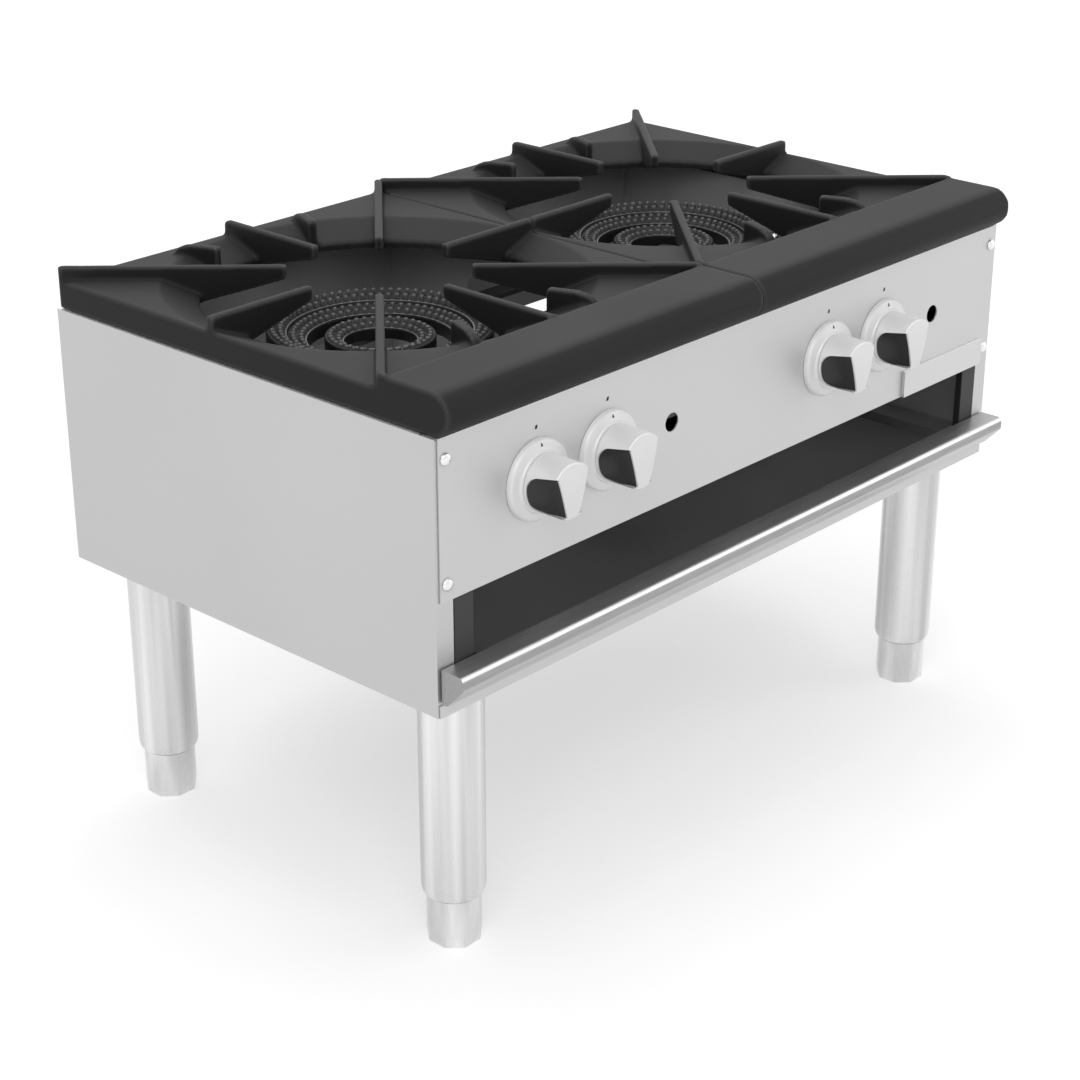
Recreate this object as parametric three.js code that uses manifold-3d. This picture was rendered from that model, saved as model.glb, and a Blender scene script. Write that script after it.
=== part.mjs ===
// Countertop-height stock pot range: a stainless cabinet on four round legs, with two cast-iron
// top grates side by side, a two-ring gas burner under each, four control knobs, a gas manifold
// with its valves, air shutters and pilots, and a drip tray that slides out of the front.
//
// Units are millimetres and +Z is up. The cabinet's front faces -Y. Every piece is drawn in the
// cabinet's own coordinates: x from the middle of the width, y from the front face of the control
// panel and z from the cabinet's bottom edge. The finished group is then lifted onto its legs and
// centred over the origin, which lies on the floor under the middle of the range.

import * as THREE from 'three';
import { mergeVertices } from 'three/addons/utils/BufferGeometryUtils.js';
import Module from 'manifold-3d';

const wasm = await Module();
wasm.setup();

// ---------------------------------------------------------------- driving dimensions

// cabinet
const WIDTH = 914;
const DEPTH = 546;
const CABINET_HEIGHT = 280;
const LEG_HEIGHT = 290;
const SHEET = 1.5;
const GAP = 0.3;
const TOP_FLANGE = 20;
const FRONT_RETURN = 22;
const BACK_RETURN = 8;

// control panel and what is mounted on it
const PANEL_BOTTOM = 118;
const PANEL_SIDE_INSET = 4;
const PANEL_BOTTOM_FLANGE = 15;
const SCREW_INSET = 13;
const SCREW_TOP_INSET = 21.5;
const SCREW_BOTTOM_INSET = 17;
const SCREW_HEAD_RADIUS = 6.5;
const SCREW_HEAD_HEIGHT = 4;
const SCREW_SHANK_RADIUS = 2.6;
const SCREW_LENGTH = 9;
const SCREW_CLEARANCE = 0.5;
const VIEW_HOLE_RADIUS = 10;
const NAMEPLATE_WIDTH = 155;
const NAMEPLATE_HEIGHT = 30;
const NAMEPLATE_THICKNESS = 4;
const NAMEPLATE_INSET = 22;

// places in each bay, measured from the bay's centre line and from the cabinet's bottom
const KNOB_OFFSETS = [-95.5, 5.5];
const VIEW_HOLE_OFFSET = 103.5;
const CONTROL_DROP = 77;

// knobs
const BEZEL_RADIUS = 41;
const BEZEL_THICKNESS = 10;
const BEZEL_EDGE = 4;
const KNOB_RADIUS = 28.5;
const KNOB_LENGTH = 38;
const KNOB_BACK_RING = 4.5;
const KNOB_FACE = 3;
const KNOB_GRIP_WIDTH = 28;
const STEM_RADIUS = 4;
const STEM_CLEARANCE = 0.4;
const PANEL_HOLE_CLEARANCE = 2.5;
const VALVE_NOSE_WALL = 4.6;

// base: front rail, leg channels and posts
const RAIL_HEIGHT = 13;
const RAIL_DEPTH = 15;
const CHANNEL_WIDTH = 110;
const CHANNEL_TOP = 28;
const CHANNEL_SHEET = 2;
const CHANNEL_BOTTOM = 3;
const POST_WIDTH = 25;
const POST_DEPTH = 23;

// legs and feet
const LEG_RADIUS = 33;
const LEG_WALL = 1.5;
const LEG_INSET_X = 65;
const LEG_INSET_Y = 50;
const LEG_PLATE = 80;
const LEG_PLATE_THICKNESS = 3;
const FOOT_SHOWN = 55;
const LEG_CRIMP = 4.4;
const FOOT_CLEARANCE = 0.6;
const FOOT_PAD_HEIGHT = 21;
const FOOT_PAD_TAPER = 2.5;
const FOOT_SLEEVE_TOP = 95;
const LEG_PLUG_THICKNESS = 15;
const STUD_RADIUS = 8;
const STUD_LENGTH = 45;

// drip tray and its handle
const TRAY_SIDE_INSET = 66;
const TRAY_BACK_GAP = 46;
const TRAY_WALL = 12;
const HANDLE_TOP = 51;
const HANDLE_BOTTOM = 15;
const HANDLE_REACH = 28;
const HANDLE_FACE = 14;
const HANDLE_SIDE_INSET = 3;

// heat shields round the burners
const SHIELD = 1.2;
const SHIELD_BOTTOM = 120;
const SHIELD_SIDE_INSET = 40;
const SHIELD_FRONT = 95;
const SHIELD_BACK_INSET = 18;
const WINDOW_TOP_DROP = 38;
const WINDOW_HEIGHT = 67;
const WINDOW_REACH = 96;
const WINDOW_CORNER = 14;

// air and gas openings in the back panel
const BACK_SLOT_INSET = 80;
const BACK_SLOT_BOTTOM = 95;
const BACK_SLOT_TOP = 170;
const BACK_BOTTOM_FLANGE = 12;

// burners
const BURNER_DROP = 48;
const OUTER_RING = { inner: 76, step: 96, outer: 118, low: 14, middle: 22, high: 32 };
const INNER_RING = { inner: 38, step: 48, outer: 58, low: 12, middle: 16, high: 20 };
const RING_EDGE = 3;
const FEED_ANGLE = -0.93;
const TUBE_RADIUS = 10;
const MOUTH_RADIUS = 20;
const MOUTH_START = 72;
const MOUTH_LENGTH = 16;
const MOUTH_BORE_RADIUS = 8;
const MOUTH_BORE_DEPTH = 30;
const BAR_WIDTH = 25;
const BAR_THICKNESS = 5;
const BAR_OFFSET = 50;
const BAR_TAB = 18;
const SLOT_CLEARANCE = 3;

// gas line
const PIPE_RADIUS = 10.5;
const PIPE_LINE_Y = 45;
const PIPE_DROP = 34;
const PIPE_LEFT_INSET = 60;
const PIPE_SIDE_CLEARANCE = 1;
const PIPE_BEND = 24;
const COUPLING_WALL = 2.5;
const COUPLING_LENGTH = 24;
const VALVE_WIDTH = 26;
const VALVE_FRONT = 27;
const VALVE_BACK = 60;
const VALVE_NECK_RADIUS = 7;
const HOOD_RADIUS = 6;
const HOOD_TIP = 78;
const SHUTTER_RADIUS = 21;
const SHUTTER_THICKNESS = 1.5;
const SHUTTER_BORE_CLEARANCE = 0.8;
const PILOT_TUBE_RADIUS = 3;
const PILOT_HEAD_RADIUS = 5.5;
const PILOT_STANDOFF = 4.5;
const PILOT_ANGLE = -0.876;

// cast-iron top grates
const GRATE_SIDE_INSET = 2;
const GRATE_HEIGHT = 30;
const GRATE_OVERHANG = 15;
const GRATE_BAND = 67;
const BAND_RISE = 13;
const GRATE_WALL = 8;
const GRATE_PLATE = 9;
const GRATE_RIM = 3;
const GRATE_OPENING_RADIUS = 184;
const GRATE_DISH_DROP = 16;
const BLADE_RISE = 15;
const BLADE_THICKNESS = 9;
const BLADE_TIP_RADIUS = 95;
const BLADE_TIP_HEIGHT = 16;
const BLADE_CORNER = 5;
const FIN_ANGLE = 1.204;
const FIN_LENGTH = 52;
const FIN_RISE = 12;
const FIN_THICKNESS = 10;

// ---------------------------------------------------------------- places worked out from them

const HALF_WIDTH = WIDTH / 2;
const BAY_HALF = WIDTH / 4;
const SIDES = { left: -1, right: 1 };
const CONTROL_LINE = CABINET_HEIGHT - CONTROL_DROP;
const PIPE_LINE_Z = CONTROL_LINE - PIPE_DROP;
const BURNER_SEAT = CABINET_HEIGHT - BURNER_DROP;
const WINDOW_TOP = CABINET_HEIGHT - WINDOW_TOP_DROP;
const WINDOW_BOTTOM = WINDOW_TOP - WINDOW_HEIGHT;
const PIPE_RIGHT_INSET = BACK_RETURN + PIPE_SIDE_CLEARANCE + COUPLING_WALL + PIPE_RADIUS;
const STEM_BORE_RADIUS = STEM_RADIUS + STEM_CLEARANCE;
const STEM_HOLE_RADIUS = STEM_RADIUS + PANEL_HOLE_CLEARANCE;
const KNOB_REACH = BEZEL_THICKNESS + GAP + KNOB_LENGTH;
const BURNER_Y = (GRATE_BAND + DEPTH) / 2;
const GRATE_BOTTOM = CABINET_HEIGHT + GAP;
const GRATE_TOP = GRATE_BOTTOM + GRATE_HEIGHT;
const TRAY_BOTTOM = CHANNEL_TOP + GAP;
const FLOOR = -LEG_HEIGHT;
const FOOT_RADIUS = LEG_RADIUS - LEG_CRIMP - FOOT_CLEARANCE;
const SHIELD_TOP = CABINET_HEIGHT - SHEET - GAP;
const CHANNEL_INSET = SHEET + GAP;

// ---------------------------------------------------------------- finishes

const stainless = new THREE.MeshStandardMaterial({ color: 0xcfcfcf, roughness: 0.34, metalness: 0.9 });
const brushedSteel = new THREE.MeshStandardMaterial({ color: 0xb9b9b9, roughness: 0.3, metalness: 0.95 });
const darkSteel = new THREE.MeshStandardMaterial({ color: 0x3a3a3a, roughness: 0.6, metalness: 0.5 });
const castIron = new THREE.MeshStandardMaterial({ color: 0x434343, roughness: 0.75, metalness: 0.35 });
const satinSilver = new THREE.MeshStandardMaterial({ color: 0xe6e6e6, roughness: 0.35, metalness: 0.6 });
const blackPlastic = new THREE.MeshStandardMaterial({ color: 0x2f2f2f, roughness: 0.5, metalness: 0 });
const brass = new THREE.MeshStandardMaterial({ color: 0xb08d4a, roughness: 0.35, metalness: 0.9 });
const blackPipe = new THREE.MeshStandardMaterial({ color: 0x2a2a2a, roughness: 0.6, metalness: 0.6 });

// ---------------------------------------------------------------- solid modelling helpers

// A closed three.js geometry as a solid, with its faces turned outwards.
function solid(geometry) {
  const bare = geometry.clone();
  bare.deleteAttribute('normal');
  bare.deleteAttribute('uv');
  const merged = mergeVertices(bare, 1e-4);
  const position = merged.attributes.position.array.map((value) => Math.round(value * 1000) / 1000);
  const kept = [];
  const corner = [new THREE.Vector3(), new THREE.Vector3(), new THREE.Vector3()];
  let volume = 0;
  for (let i = 0; i < merged.index.count; i += 3) {
    const ids = [0, 1, 2].map((k) => merged.index.getX(i + k));
    if (ids[0] === ids[1] || ids[1] === ids[2] || ids[2] === ids[0]) continue;
    kept.push(...ids);
    ids.forEach((id, k) => corner[k].fromArray(position, 3 * id));
    volume += corner[0].dot(corner[1].cross(corner[2]));
  }
  const triVerts = Uint32Array.from(volume < 0 ? kept.reverse() : kept);
  return new wasm.Manifold(new wasm.Mesh({ numProp: 3, vertProperties: position, triVerts }));
}

function box(x0, x1, y0, y1, z0, z1) {
  const geometry = new THREE.BoxGeometry(Math.abs(x1 - x0), Math.abs(y1 - y0), Math.abs(z1 - z0));
  return solid(geometry.translate((x0 + x1) / 2, (y0 + y1) / 2, (z0 + z1) / 2));
}

// A box whose x runs inwards from one side of the cabinet: side is -1 or 1.
function sideBox(side, from, to, y0, y1, z0, z1) {
  return box(side * (HALF_WIDTH - from), side * (HALF_WIDTH - to), y0, y1, z0, z1);
}

function rodAlongX(y, z, x0, x1, radius, sides = 20) {
  const geometry = new THREE.CylinderGeometry(radius, radius, x1 - x0, sides).rotateZ(Math.PI / 2);
  return solid(geometry.translate((x0 + x1) / 2, y, z));
}

function rodAlongY(x, z, y0, y1, radius, sides = 20) {
  const geometry = new THREE.CylinderGeometry(radius, radius, y1 - y0, sides);
  return solid(geometry.translate(x, (y0 + y1) / 2, z));
}

function rodAlongZ(x, y, z0, z1, radius, sides = 20, topRadius = radius) {
  const geometry = new THREE.CylinderGeometry(topRadius, radius, z1 - z0, sides).rotateX(Math.PI / 2);
  return solid(geometry.translate(x, y, (z0 + z1) / 2));
}

// A profile of [radius, height] points turned about the Z axis, or about the Y axis.
function turnedAboutZ(profile, x, y, sides) {
  const points = [...profile, profile[0]].map(([r, h]) => new THREE.Vector2(r, h));
  return solid(new THREE.LatheGeometry(points, sides).rotateX(Math.PI / 2).translate(x, y, 0));
}

function turnedAboutY(profile, x, z, sides) {
  const points = [...profile, profile[0]].map(([r, h]) => new THREE.Vector2(r, h));
  return solid(new THREE.LatheGeometry(points, sides).translate(x, 0, z));
}

// A (y, z) outline carried along x.
function sectionAlongX(shape, x0, x1, curveSegments = 6) {
  const options = { depth: x1 - x0, bevelEnabled: false, curveSegments };
  const geometry = new THREE.ExtrudeGeometry(shape, options);
  return solid(geometry.rotateY(Math.PI / 2).rotateX(Math.PI / 2).translate(x0, 0, 0));
}

// An (x, z) outline carried along y.
function sectionAlongY(shape, y0, y1) {
  const geometry = new THREE.ExtrudeGeometry(shape, { depth: y1 - y0, bevelEnabled: false });
  return solid(geometry.rotateX(Math.PI / 2).translate(0, y1, 0));
}

// An (x, y) outline carried up z.
function sectionAlongZ(shape, z0, z1) {
  const geometry = new THREE.ExtrudeGeometry(shape, { depth: z1 - z0, bevelEnabled: false });
  return solid(geometry.translate(0, 0, z0));
}

// An outline whose first coordinate runs inwards from one side of the cabinet.
function sideShape(side, points) {
  return shapeOf(points.map(([inset, height]) => [side * (HALF_WIDTH - inset), height]));
}

function shapeOf(points) {
  return new THREE.Shape(points.map(([a, b]) => new THREE.Vector2(a, b)));
}

// A round tube whose middle line runs smoothly through the points.
function tubeThrough(points, radius, steps, sides = 10) {
  const curve = new THREE.CatmullRomCurve3(points.map((p) => new THREE.Vector3(...p)), false, 'centripetal');
  const ring = new THREE.Shape();
  for (let i = 0; i < sides; i += 1) {
    const angle = (2 * Math.PI * i) / sides;
    const point = [radius * Math.cos(angle), radius * Math.sin(angle)];
    if (i === 0) ring.moveTo(...point);
    else ring.lineTo(...point);
  }
  return solid(new THREE.ExtrudeGeometry(ring, { steps, extrudePath: curve, bevelEnabled: false }));
}

function joined(first, ...others) {
  return others.reduce((sum, other) => sum.add(other), first);
}

function cut(body, ...tools) {
  return tools.reduce((rest, tool) => rest.subtract(tool), body);
}

const range = new THREE.Group();

function addPiece(name, body, material) {
  const { vertProperties, triVerts } = body.getMesh();
  const geometry = new THREE.BufferGeometry();
  geometry.setAttribute('position', new THREE.BufferAttribute(Float32Array.from(vertProperties), 3));
  geometry.setIndex(new THREE.BufferAttribute(Uint32Array.from(triVerts), 1));
  geometry.computeVertexNormals();
  const mesh = new THREE.Mesh(geometry, material);
  mesh.name = name;
  range.add(mesh);
}

// ---------------------------------------------------------------- places shared by the pieces

const bays = Object.entries(SIDES).map(([name, side]) => ({ name, side, x: side * BAY_HALF }));

const controls = bays.flatMap((bay) => KNOB_OFFSETS.map((offset) => bay.x + offset));

const screws = Object.entries(SIDES).flatMap(([sideName, side]) =>
  [['lower', PANEL_BOTTOM + SCREW_BOTTOM_INSET], ['upper', CABINET_HEIGHT - SCREW_TOP_INSET]].map(([level, z]) => (
    { name: `panel_screw_${sideName}_${level}`, x: side * (HALF_WIDTH - SCREW_INSET), z })));

const legs = Object.entries(SIDES).flatMap(([sideName, side]) =>
  [['front', LEG_INSET_Y], ['back', DEPTH - LEG_INSET_Y]].map(([end, y]) => (
    { name: `${end}_${sideName}`, x: side * (HALF_WIDTH - LEG_INSET_X), y })));

function screwHoles() {
  const radius = SCREW_SHANK_RADIUS + SCREW_CLEARANCE;
  return screws.map(({ x, z }) => rodAlongY(x, z, -1, FRONT_RETURN, radius, 12));
}

// ---------------------------------------------------------------- cabinet

function sidePanel(side) {
  const front = SHEET + GAP;
  const back = DEPTH - SHEET - GAP;
  const inner = FRONT_RETURN;
  const bend = BACK_RETURN;
  const wall = sectionAlongZ(sideShape(side, [
    [0, front], [inner, front], [inner, front + SHEET], [SHEET, front + SHEET],
    [SHEET, back - SHEET], [bend, back - SHEET], [bend, back], [0, back]]), 0, SHIELD_TOP);
  const top = TOP_FLANGE;
  const strip = sectionAlongZ(sideShape(side, [[0, front], [SHEET, front], [SHEET, back], [0, back]]),
    SHIELD_TOP, CABINET_HEIGHT - SHEET);
  const flange = sectionAlongZ(sideShape(side, [
    [0, front], [SHEET, front], [SHEET, top + SHEET], [top, top + SHEET],
    [top, DEPTH - top - SHEET], [SHEET, DEPTH - top - SHEET], [SHEET, back], [0, back]]),
  CABINET_HEIGHT - SHEET, CABINET_HEIGHT);
  return cut(joined(wall, strip, flange), ...screwHoles());
}

function backPanel() {
  const plate = box(GAP - HALF_WIDTH, HALF_WIDTH - GAP, DEPTH - SHEET, DEPTH, 0, CABINET_HEIGHT);
  const flangeHalf = HALF_WIDTH - SHEET - GAP;
  const topFlange = box(-flangeHalf, flangeHalf, DEPTH - TOP_FLANGE, DEPTH,
    CABINET_HEIGHT - SHEET, CABINET_HEIGHT);
  const bottomHalf = HALF_WIDTH - FRONT_RETURN;
  const bottomFlange = box(-bottomHalf, bottomHalf, DEPTH - BACK_BOTTOM_FLANGE, DEPTH, 0, SHEET);
  const slotHalf = HALF_WIDTH - BACK_SLOT_INSET;
  const slot = box(-slotHalf, slotHalf, DEPTH - 2 * SHEET, DEPTH + 1, BACK_SLOT_BOTTOM, BACK_SLOT_TOP);
  const inlet = rodAlongY(HALF_WIDTH - PIPE_RIGHT_INSET, PIPE_LINE_Z, DEPTH - 2 * SHEET, DEPTH + 1,
    PIPE_RADIUS, 20);
  return cut(joined(plate, topFlange, bottomFlange), slot, inlet);
}

function controlPanel() {
  const half = HALF_WIDTH - PANEL_SIDE_INSET;
  const plate = box(-half, half, 0, SHEET, PANEL_BOTTOM, CABINET_HEIGHT);
  const topFlange = box(-half, half, 0, TOP_FLANGE, CABINET_HEIGHT - SHEET, CABINET_HEIGHT);
  const flangeHalf = HALF_WIDTH - FRONT_RETURN - POST_WIDTH - 2 * SHEET;
  const bottomFlange = box(-flangeHalf, flangeHalf, 0, PANEL_BOTTOM_FLANGE, PANEL_BOTTOM,
    PANEL_BOTTOM + SHEET);
  const stemHoles = controls.map((x) => (
    rodAlongY(x, CONTROL_LINE, -1, 2 * SHEET, STEM_HOLE_RADIUS, 16)));
  const viewHoles = bays.map((bay) => (
    rodAlongY(bay.x + VIEW_HOLE_OFFSET, CONTROL_LINE, -1, 2 * SHEET, VIEW_HOLE_RADIUS, 24)));
  return cut(joined(plate, topFlange, bottomFlange), ...stemHoles, ...viewHoles, ...screwHoles());
}

function panelScrew({ x, z }) {
  const dome = [];
  const steps = 4;
  for (let i = 0; i <= steps; i += 1) {
    const angle = (Math.PI / 2) * (i / steps);
    dome.push([SCREW_HEAD_RADIUS * Math.cos(angle), -GAP - SCREW_HEAD_HEIGHT * Math.sin(angle)]);
  }
  const profile = [[0, SCREW_LENGTH], [SCREW_SHANK_RADIUS, SCREW_LENGTH], [SCREW_SHANK_RADIUS, -GAP], ...dome];
  profile[profile.length - 1][0] = 0;
  return turnedAboutY(profile, x, z, 12);
}

function nameplate() {
  const right = HALF_WIDTH - NAMEPLATE_INSET;
  return box(right - NAMEPLATE_WIDTH, right, -GAP - NAMEPLATE_THICKNESS, -GAP,
    PANEL_BOTTOM, PANEL_BOTTOM + NAMEPLATE_HEIGHT);
}

function frontRail() {
  const half = HALF_WIDTH - SHEET;
  const face = box(-half, half, 0, SHEET, 0, RAIL_HEIGHT);
  const footHalf = HALF_WIDTH - FRONT_RETURN - SHEET;
  return joined(face, box(-footHalf, footHalf, 0, RAIL_DEPTH, 0, SHEET));
}

function legChannel(side) {
  const front = 2 * (SHEET + GAP);
  const back = DEPTH - 2 * (SHEET + GAP);
  const outer = CHANNEL_INSET;
  const inner = CHANNEL_INSET + CHANNEL_WIDTH;
  const sheet = CHANNEL_SHEET;
  const section = sideShape(side, [
    [outer, CHANNEL_BOTTOM], [outer + sheet, CHANNEL_BOTTOM], [outer + sheet, CHANNEL_TOP - sheet],
    [inner - sheet, CHANNEL_TOP - sheet], [inner - sheet, CHANNEL_BOTTOM], [inner, CHANNEL_BOTTOM],
    [inner, CHANNEL_TOP], [outer, CHANNEL_TOP]]);
  return sectionAlongY(section, front, back);
}

function frontPost(side) {
  const front = SHEET + GAP;
  const edge = FRONT_RETURN + SHEET;
  const section = sideShape(side, [
    [edge, front], [edge + POST_WIDTH, front], [edge + POST_WIDTH, front + SHEET],
    [edge + SHEET, front + SHEET], [edge + SHEET, front + POST_DEPTH], [edge, front + POST_DEPTH]]);
  return sectionAlongZ(section, CHANNEL_TOP + GAP, SHIELD_TOP);
}

// ---------------------------------------------------------------- legs and feet

function leg({ x, y }) {
  const low = FLOOR + FOOT_SHOWN;
  const top = CHANNEL_TOP - CHANNEL_SHEET - GAP;
  const bore = LEG_RADIUS - LEG_WALL;
  const crimp = LEG_CRIMP;
  const throat = LEG_RADIUS - crimp;
  const plugLow = FLOOR + FOOT_SLEEVE_TOP + GAP;
  const plugTop = plugLow + LEG_PLUG_THICKNESS;
  const studHole = STUD_RADIUS + FOOT_CLEARANCE;
  const profile = [
    [throat, low], [LEG_RADIUS - crimp / 2, low], [LEG_RADIUS, low + crimp], [LEG_RADIUS, top - SHEET],
    [bore, top - SHEET], [bore, plugTop], [studHole, plugTop], [studHole, plugLow], [bore, plugLow],
    [bore, low + crimp], [throat, low + crimp / 2]];
  const half = LEG_PLATE / 2;
  const plate = box(x - half, x + half, y - half, y + half, top - LEG_PLATE_THICKNESS, top);
  return joined(turnedAboutZ(profile, x, y, 24), plate);
}

function foot({ x, y }) {
  const padTop = FLOOR + FOOT_PAD_HEIGHT;
  const sleeveTop = FLOOR + FOOT_SLEEVE_TOP;
  const pad = rodAlongZ(x, y, FLOOR, padTop, FOOT_RADIUS - FOOT_PAD_TAPER, 8, FOOT_RADIUS);
  const sleeve = rodAlongZ(x, y, padTop - 1, sleeveTop, FOOT_RADIUS, 24);
  return joined(pad, sleeve, rodAlongZ(x, y, sleeveTop - 1, sleeveTop + STUD_LENGTH, STUD_RADIUS, 12));
}

// ---------------------------------------------------------------- drip tray

function dripTray() {
  const half = HALF_WIDTH - TRAY_SIDE_INSET;
  const back = DEPTH - TRAY_BACK_GAP;
  const pan = box(-half, half, 0, back, TRAY_BOTTOM, TRAY_BOTTOM + TRAY_WALL);
  const hollow = box(SHEET - half, half - SHEET, SHEET, back - SHEET, TRAY_BOTTOM + SHEET, HANDLE_TOP + 1);
  return cut(joined(pan, box(-half, half, 0, SHEET, TRAY_BOTTOM, HANDLE_TOP)), hollow);
}

// The tray's full-width front handle: a folded strip with closed ends, open towards the tray.
function trayHandle() {
  const nose = 3;
  const heel = 7;
  const fold = HANDLE_TOP - HANDLE_FACE;
  const lean = 0.4; // how far a sloping wall's inner corner moves for each millimetre of wall
  const outline = (inset, back) => shapeOf([
    [back, HANDLE_TOP - inset], [nose - HANDLE_REACH + lean * inset, HANDLE_TOP - inset],
    [inset - HANDLE_REACH, HANDLE_TOP - nose - lean * inset], [inset - HANDLE_REACH, fold + lean * inset],
    [lean * inset - heel, HANDLE_BOTTOM + inset], [back, HANDLE_BOTTOM + inset]]);
  const half = HALF_WIDTH - HANDLE_SIDE_INSET;
  const shell = sectionAlongX(outline(0, -GAP), -half, half);
  return cut(shell, sectionAlongX(outline(SHEET, 1), SHEET - half, half - SHEET));
}

// ---------------------------------------------------------------- heat shields

function sideShield(side) {
  const wall = SHIELD_SIDE_INSET;
  const low = SHIELD_TOP - SHIELD;
  const section = sideShape(side, [
    [wall, SHIELD_BOTTOM], [wall + SHIELD, SHIELD_BOTTOM], [wall + SHIELD, SHIELD_TOP],
    [SHEET + GAP, SHIELD_TOP], [SHEET + GAP, low], [wall, low]]);
  return sectionAlongY(section, SHIELD_FRONT, DEPTH - SHIELD_BACK_INSET);
}

const SHIELD_HALF = HALF_WIDTH - SHIELD_SIDE_INSET - SHIELD - GAP;

function frontShield() {
  const plate = box(-SHIELD_HALF, SHIELD_HALF, SHIELD_FRONT, SHIELD_FRONT + SHIELD, SHIELD_BOTTOM, SHIELD_TOP);
  const slotRadius = TUBE_RADIUS + SLOT_CLEARANCE;
  const back = SHIELD_FRONT + 2 * SHIELD;
  const tubeSlots = controls.flatMap((x) => [
    rodAlongY(x, CONTROL_LINE, SHIELD_FRONT - 1, back, slotRadius, 20),
    box(x - slotRadius, x + slotRadius, SHIELD_FRONT - 1, back, SHIELD_BOTTOM - 1, CONTROL_LINE)]);
  const pilotRadius = PILOT_TUBE_RADIUS + SLOT_CLEARANCE;
  const pilotHoles = bays.map((bay) => (
    rodAlongY(bay.x + VIEW_HOLE_OFFSET, CONTROL_LINE, SHIELD_FRONT - 1, back, pilotRadius, 12)));
  return cut(plate, ...tubeSlots, ...pilotHoles);
}

function backShield() {
  const front = DEPTH - SHIELD_BACK_INSET - SHIELD;
  const plate = box(-SHIELD_HALF, SHIELD_HALF, front, front + SHIELD, SHIELD_BOTTOM, SHIELD_TOP);
  const flange = box(-SHIELD_HALF, SHIELD_HALF, front, DEPTH - SHEET - GAP, SHIELD_TOP - SHIELD, SHIELD_TOP);
  return joined(plate, flange);
}

// The middle wall, with a round-cornered window that the burner bars pass through.
function divider() {
  const half = SHIELD / 2;
  const front = SHIELD_FRONT + SHIELD + GAP;
  const back = DEPTH - SHIELD_BACK_INSET - SHIELD - GAP;
  const plate = box(-half, half, front, back, SHIELD_BOTTOM, SHIELD_TOP);
  const y0 = BURNER_Y - WINDOW_REACH;
  const y1 = BURNER_Y + WINDOW_REACH;
  const r = WINDOW_CORNER;
  const outline = new THREE.Shape();
  outline.moveTo(y0 + r, WINDOW_BOTTOM);
  outline.absarc(y1 - r, WINDOW_BOTTOM + r, r, -Math.PI / 2, 0, false);
  outline.absarc(y1 - r, WINDOW_TOP - r, r, 0, Math.PI / 2, false);
  outline.absarc(y0 + r, WINDOW_TOP - r, r, Math.PI / 2, Math.PI, false);
  outline.absarc(y0 + r, WINDOW_BOTTOM + r, r, Math.PI, 1.5 * Math.PI, false);
  return cut(plate, sectionAlongX(outline, -1, 1));
}

function burnerBar(direction) {
  const y = BURNER_Y + direction * BAR_OFFSET;
  const top = BURNER_SEAT - GAP;
  const half = BAR_WIDTH / 2;
  const bar = box(-SHIELD_HALF, SHIELD_HALF, y - half, y + half, top - BAR_THICKNESS, top);
  const tabs = Object.values(SIDES).map((side) => (
    box(side * SHIELD_HALF, side * (SHIELD_HALF - BAR_THICKNESS), y - half, y + half, top - BAR_TAB, top)));
  return joined(bar, ...tabs);
}

// ---------------------------------------------------------------- burners

// One burner ring: its top climbs outwards in two tiers.
function burnerRing(x, ring, sides) {
  const profile = [
    [ring.inner, 0], [ring.inner, ring.low], [ring.step - 1, ring.middle - 2],
    [ring.step + 1, ring.middle], [ring.outer - 2, ring.high], [ring.outer, ring.high - 2],
    [ring.outer, RING_EDGE], [ring.outer - RING_EDGE, 0]];
  return turnedAboutZ(profile, x, BURNER_Y, sides).translate([0, 0, BURNER_SEAT]);
}

// The bell at the front of a mixing tube, with the bore that the gas jet blows into.
function mixingTube(x, route) {
  const end = MOUTH_START + MOUTH_LENGTH;
  const bell = [
    [0, MOUTH_START], [MOUTH_RADIUS, MOUTH_START], [MOUTH_RADIUS, MOUTH_START + 3],
    [TUBE_RADIUS + 1, end], [0, end]];
  const tube = tubeThrough([[x, end - 4, CONTROL_LINE], ...route], TUBE_RADIUS, 13);
  return joined(turnedAboutY(bell, x, CONTROL_LINE, 18), tube);
}

function mouthBore(x) {
  return rodAlongY(x, CONTROL_LINE, MOUTH_START - 1, MOUTH_START + MOUTH_BORE_DEPTH, MOUTH_BORE_RADIUS, 16);
}

// Points of a tube's middle line, each given by its share of the way from start to end.
function routeBetween(start, end, shares) {
  return shares.map((share) => share.map((part, k) => start[k] + part * (end[k] - start[k])));
}

// The way of a tube that runs level and then rises into the underside of its ring.
const FEED_SHARES = [[0, 0, 0], [0.41, 0.48, 0], [0.87, 0.83, 0], [1, 0.97, 0.3], [1, 1, 0.9]];

// The outer ring is fed from below, in front of the front burner bar.
function outerBurner(bay) {
  const mouth = bay.x + KNOB_OFFSETS[1];
  const start = [mouth, SHIELD_FRONT + 20, CONTROL_LINE];
  const end = [bay.x + OUTER_RING.step * Math.cos(FEED_ANGLE), BURNER_Y + OUTER_RING.step * Math.sin(FEED_ANGLE),
    BURNER_SEAT + OUTER_RING.low];
  const route = routeBetween(start, end, FEED_SHARES);
  const body = joined(burnerRing(bay.x, OUTER_RING, 36), mixingTube(mouth, route));
  return cut(body, mouthBore(mouth));
}

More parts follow.
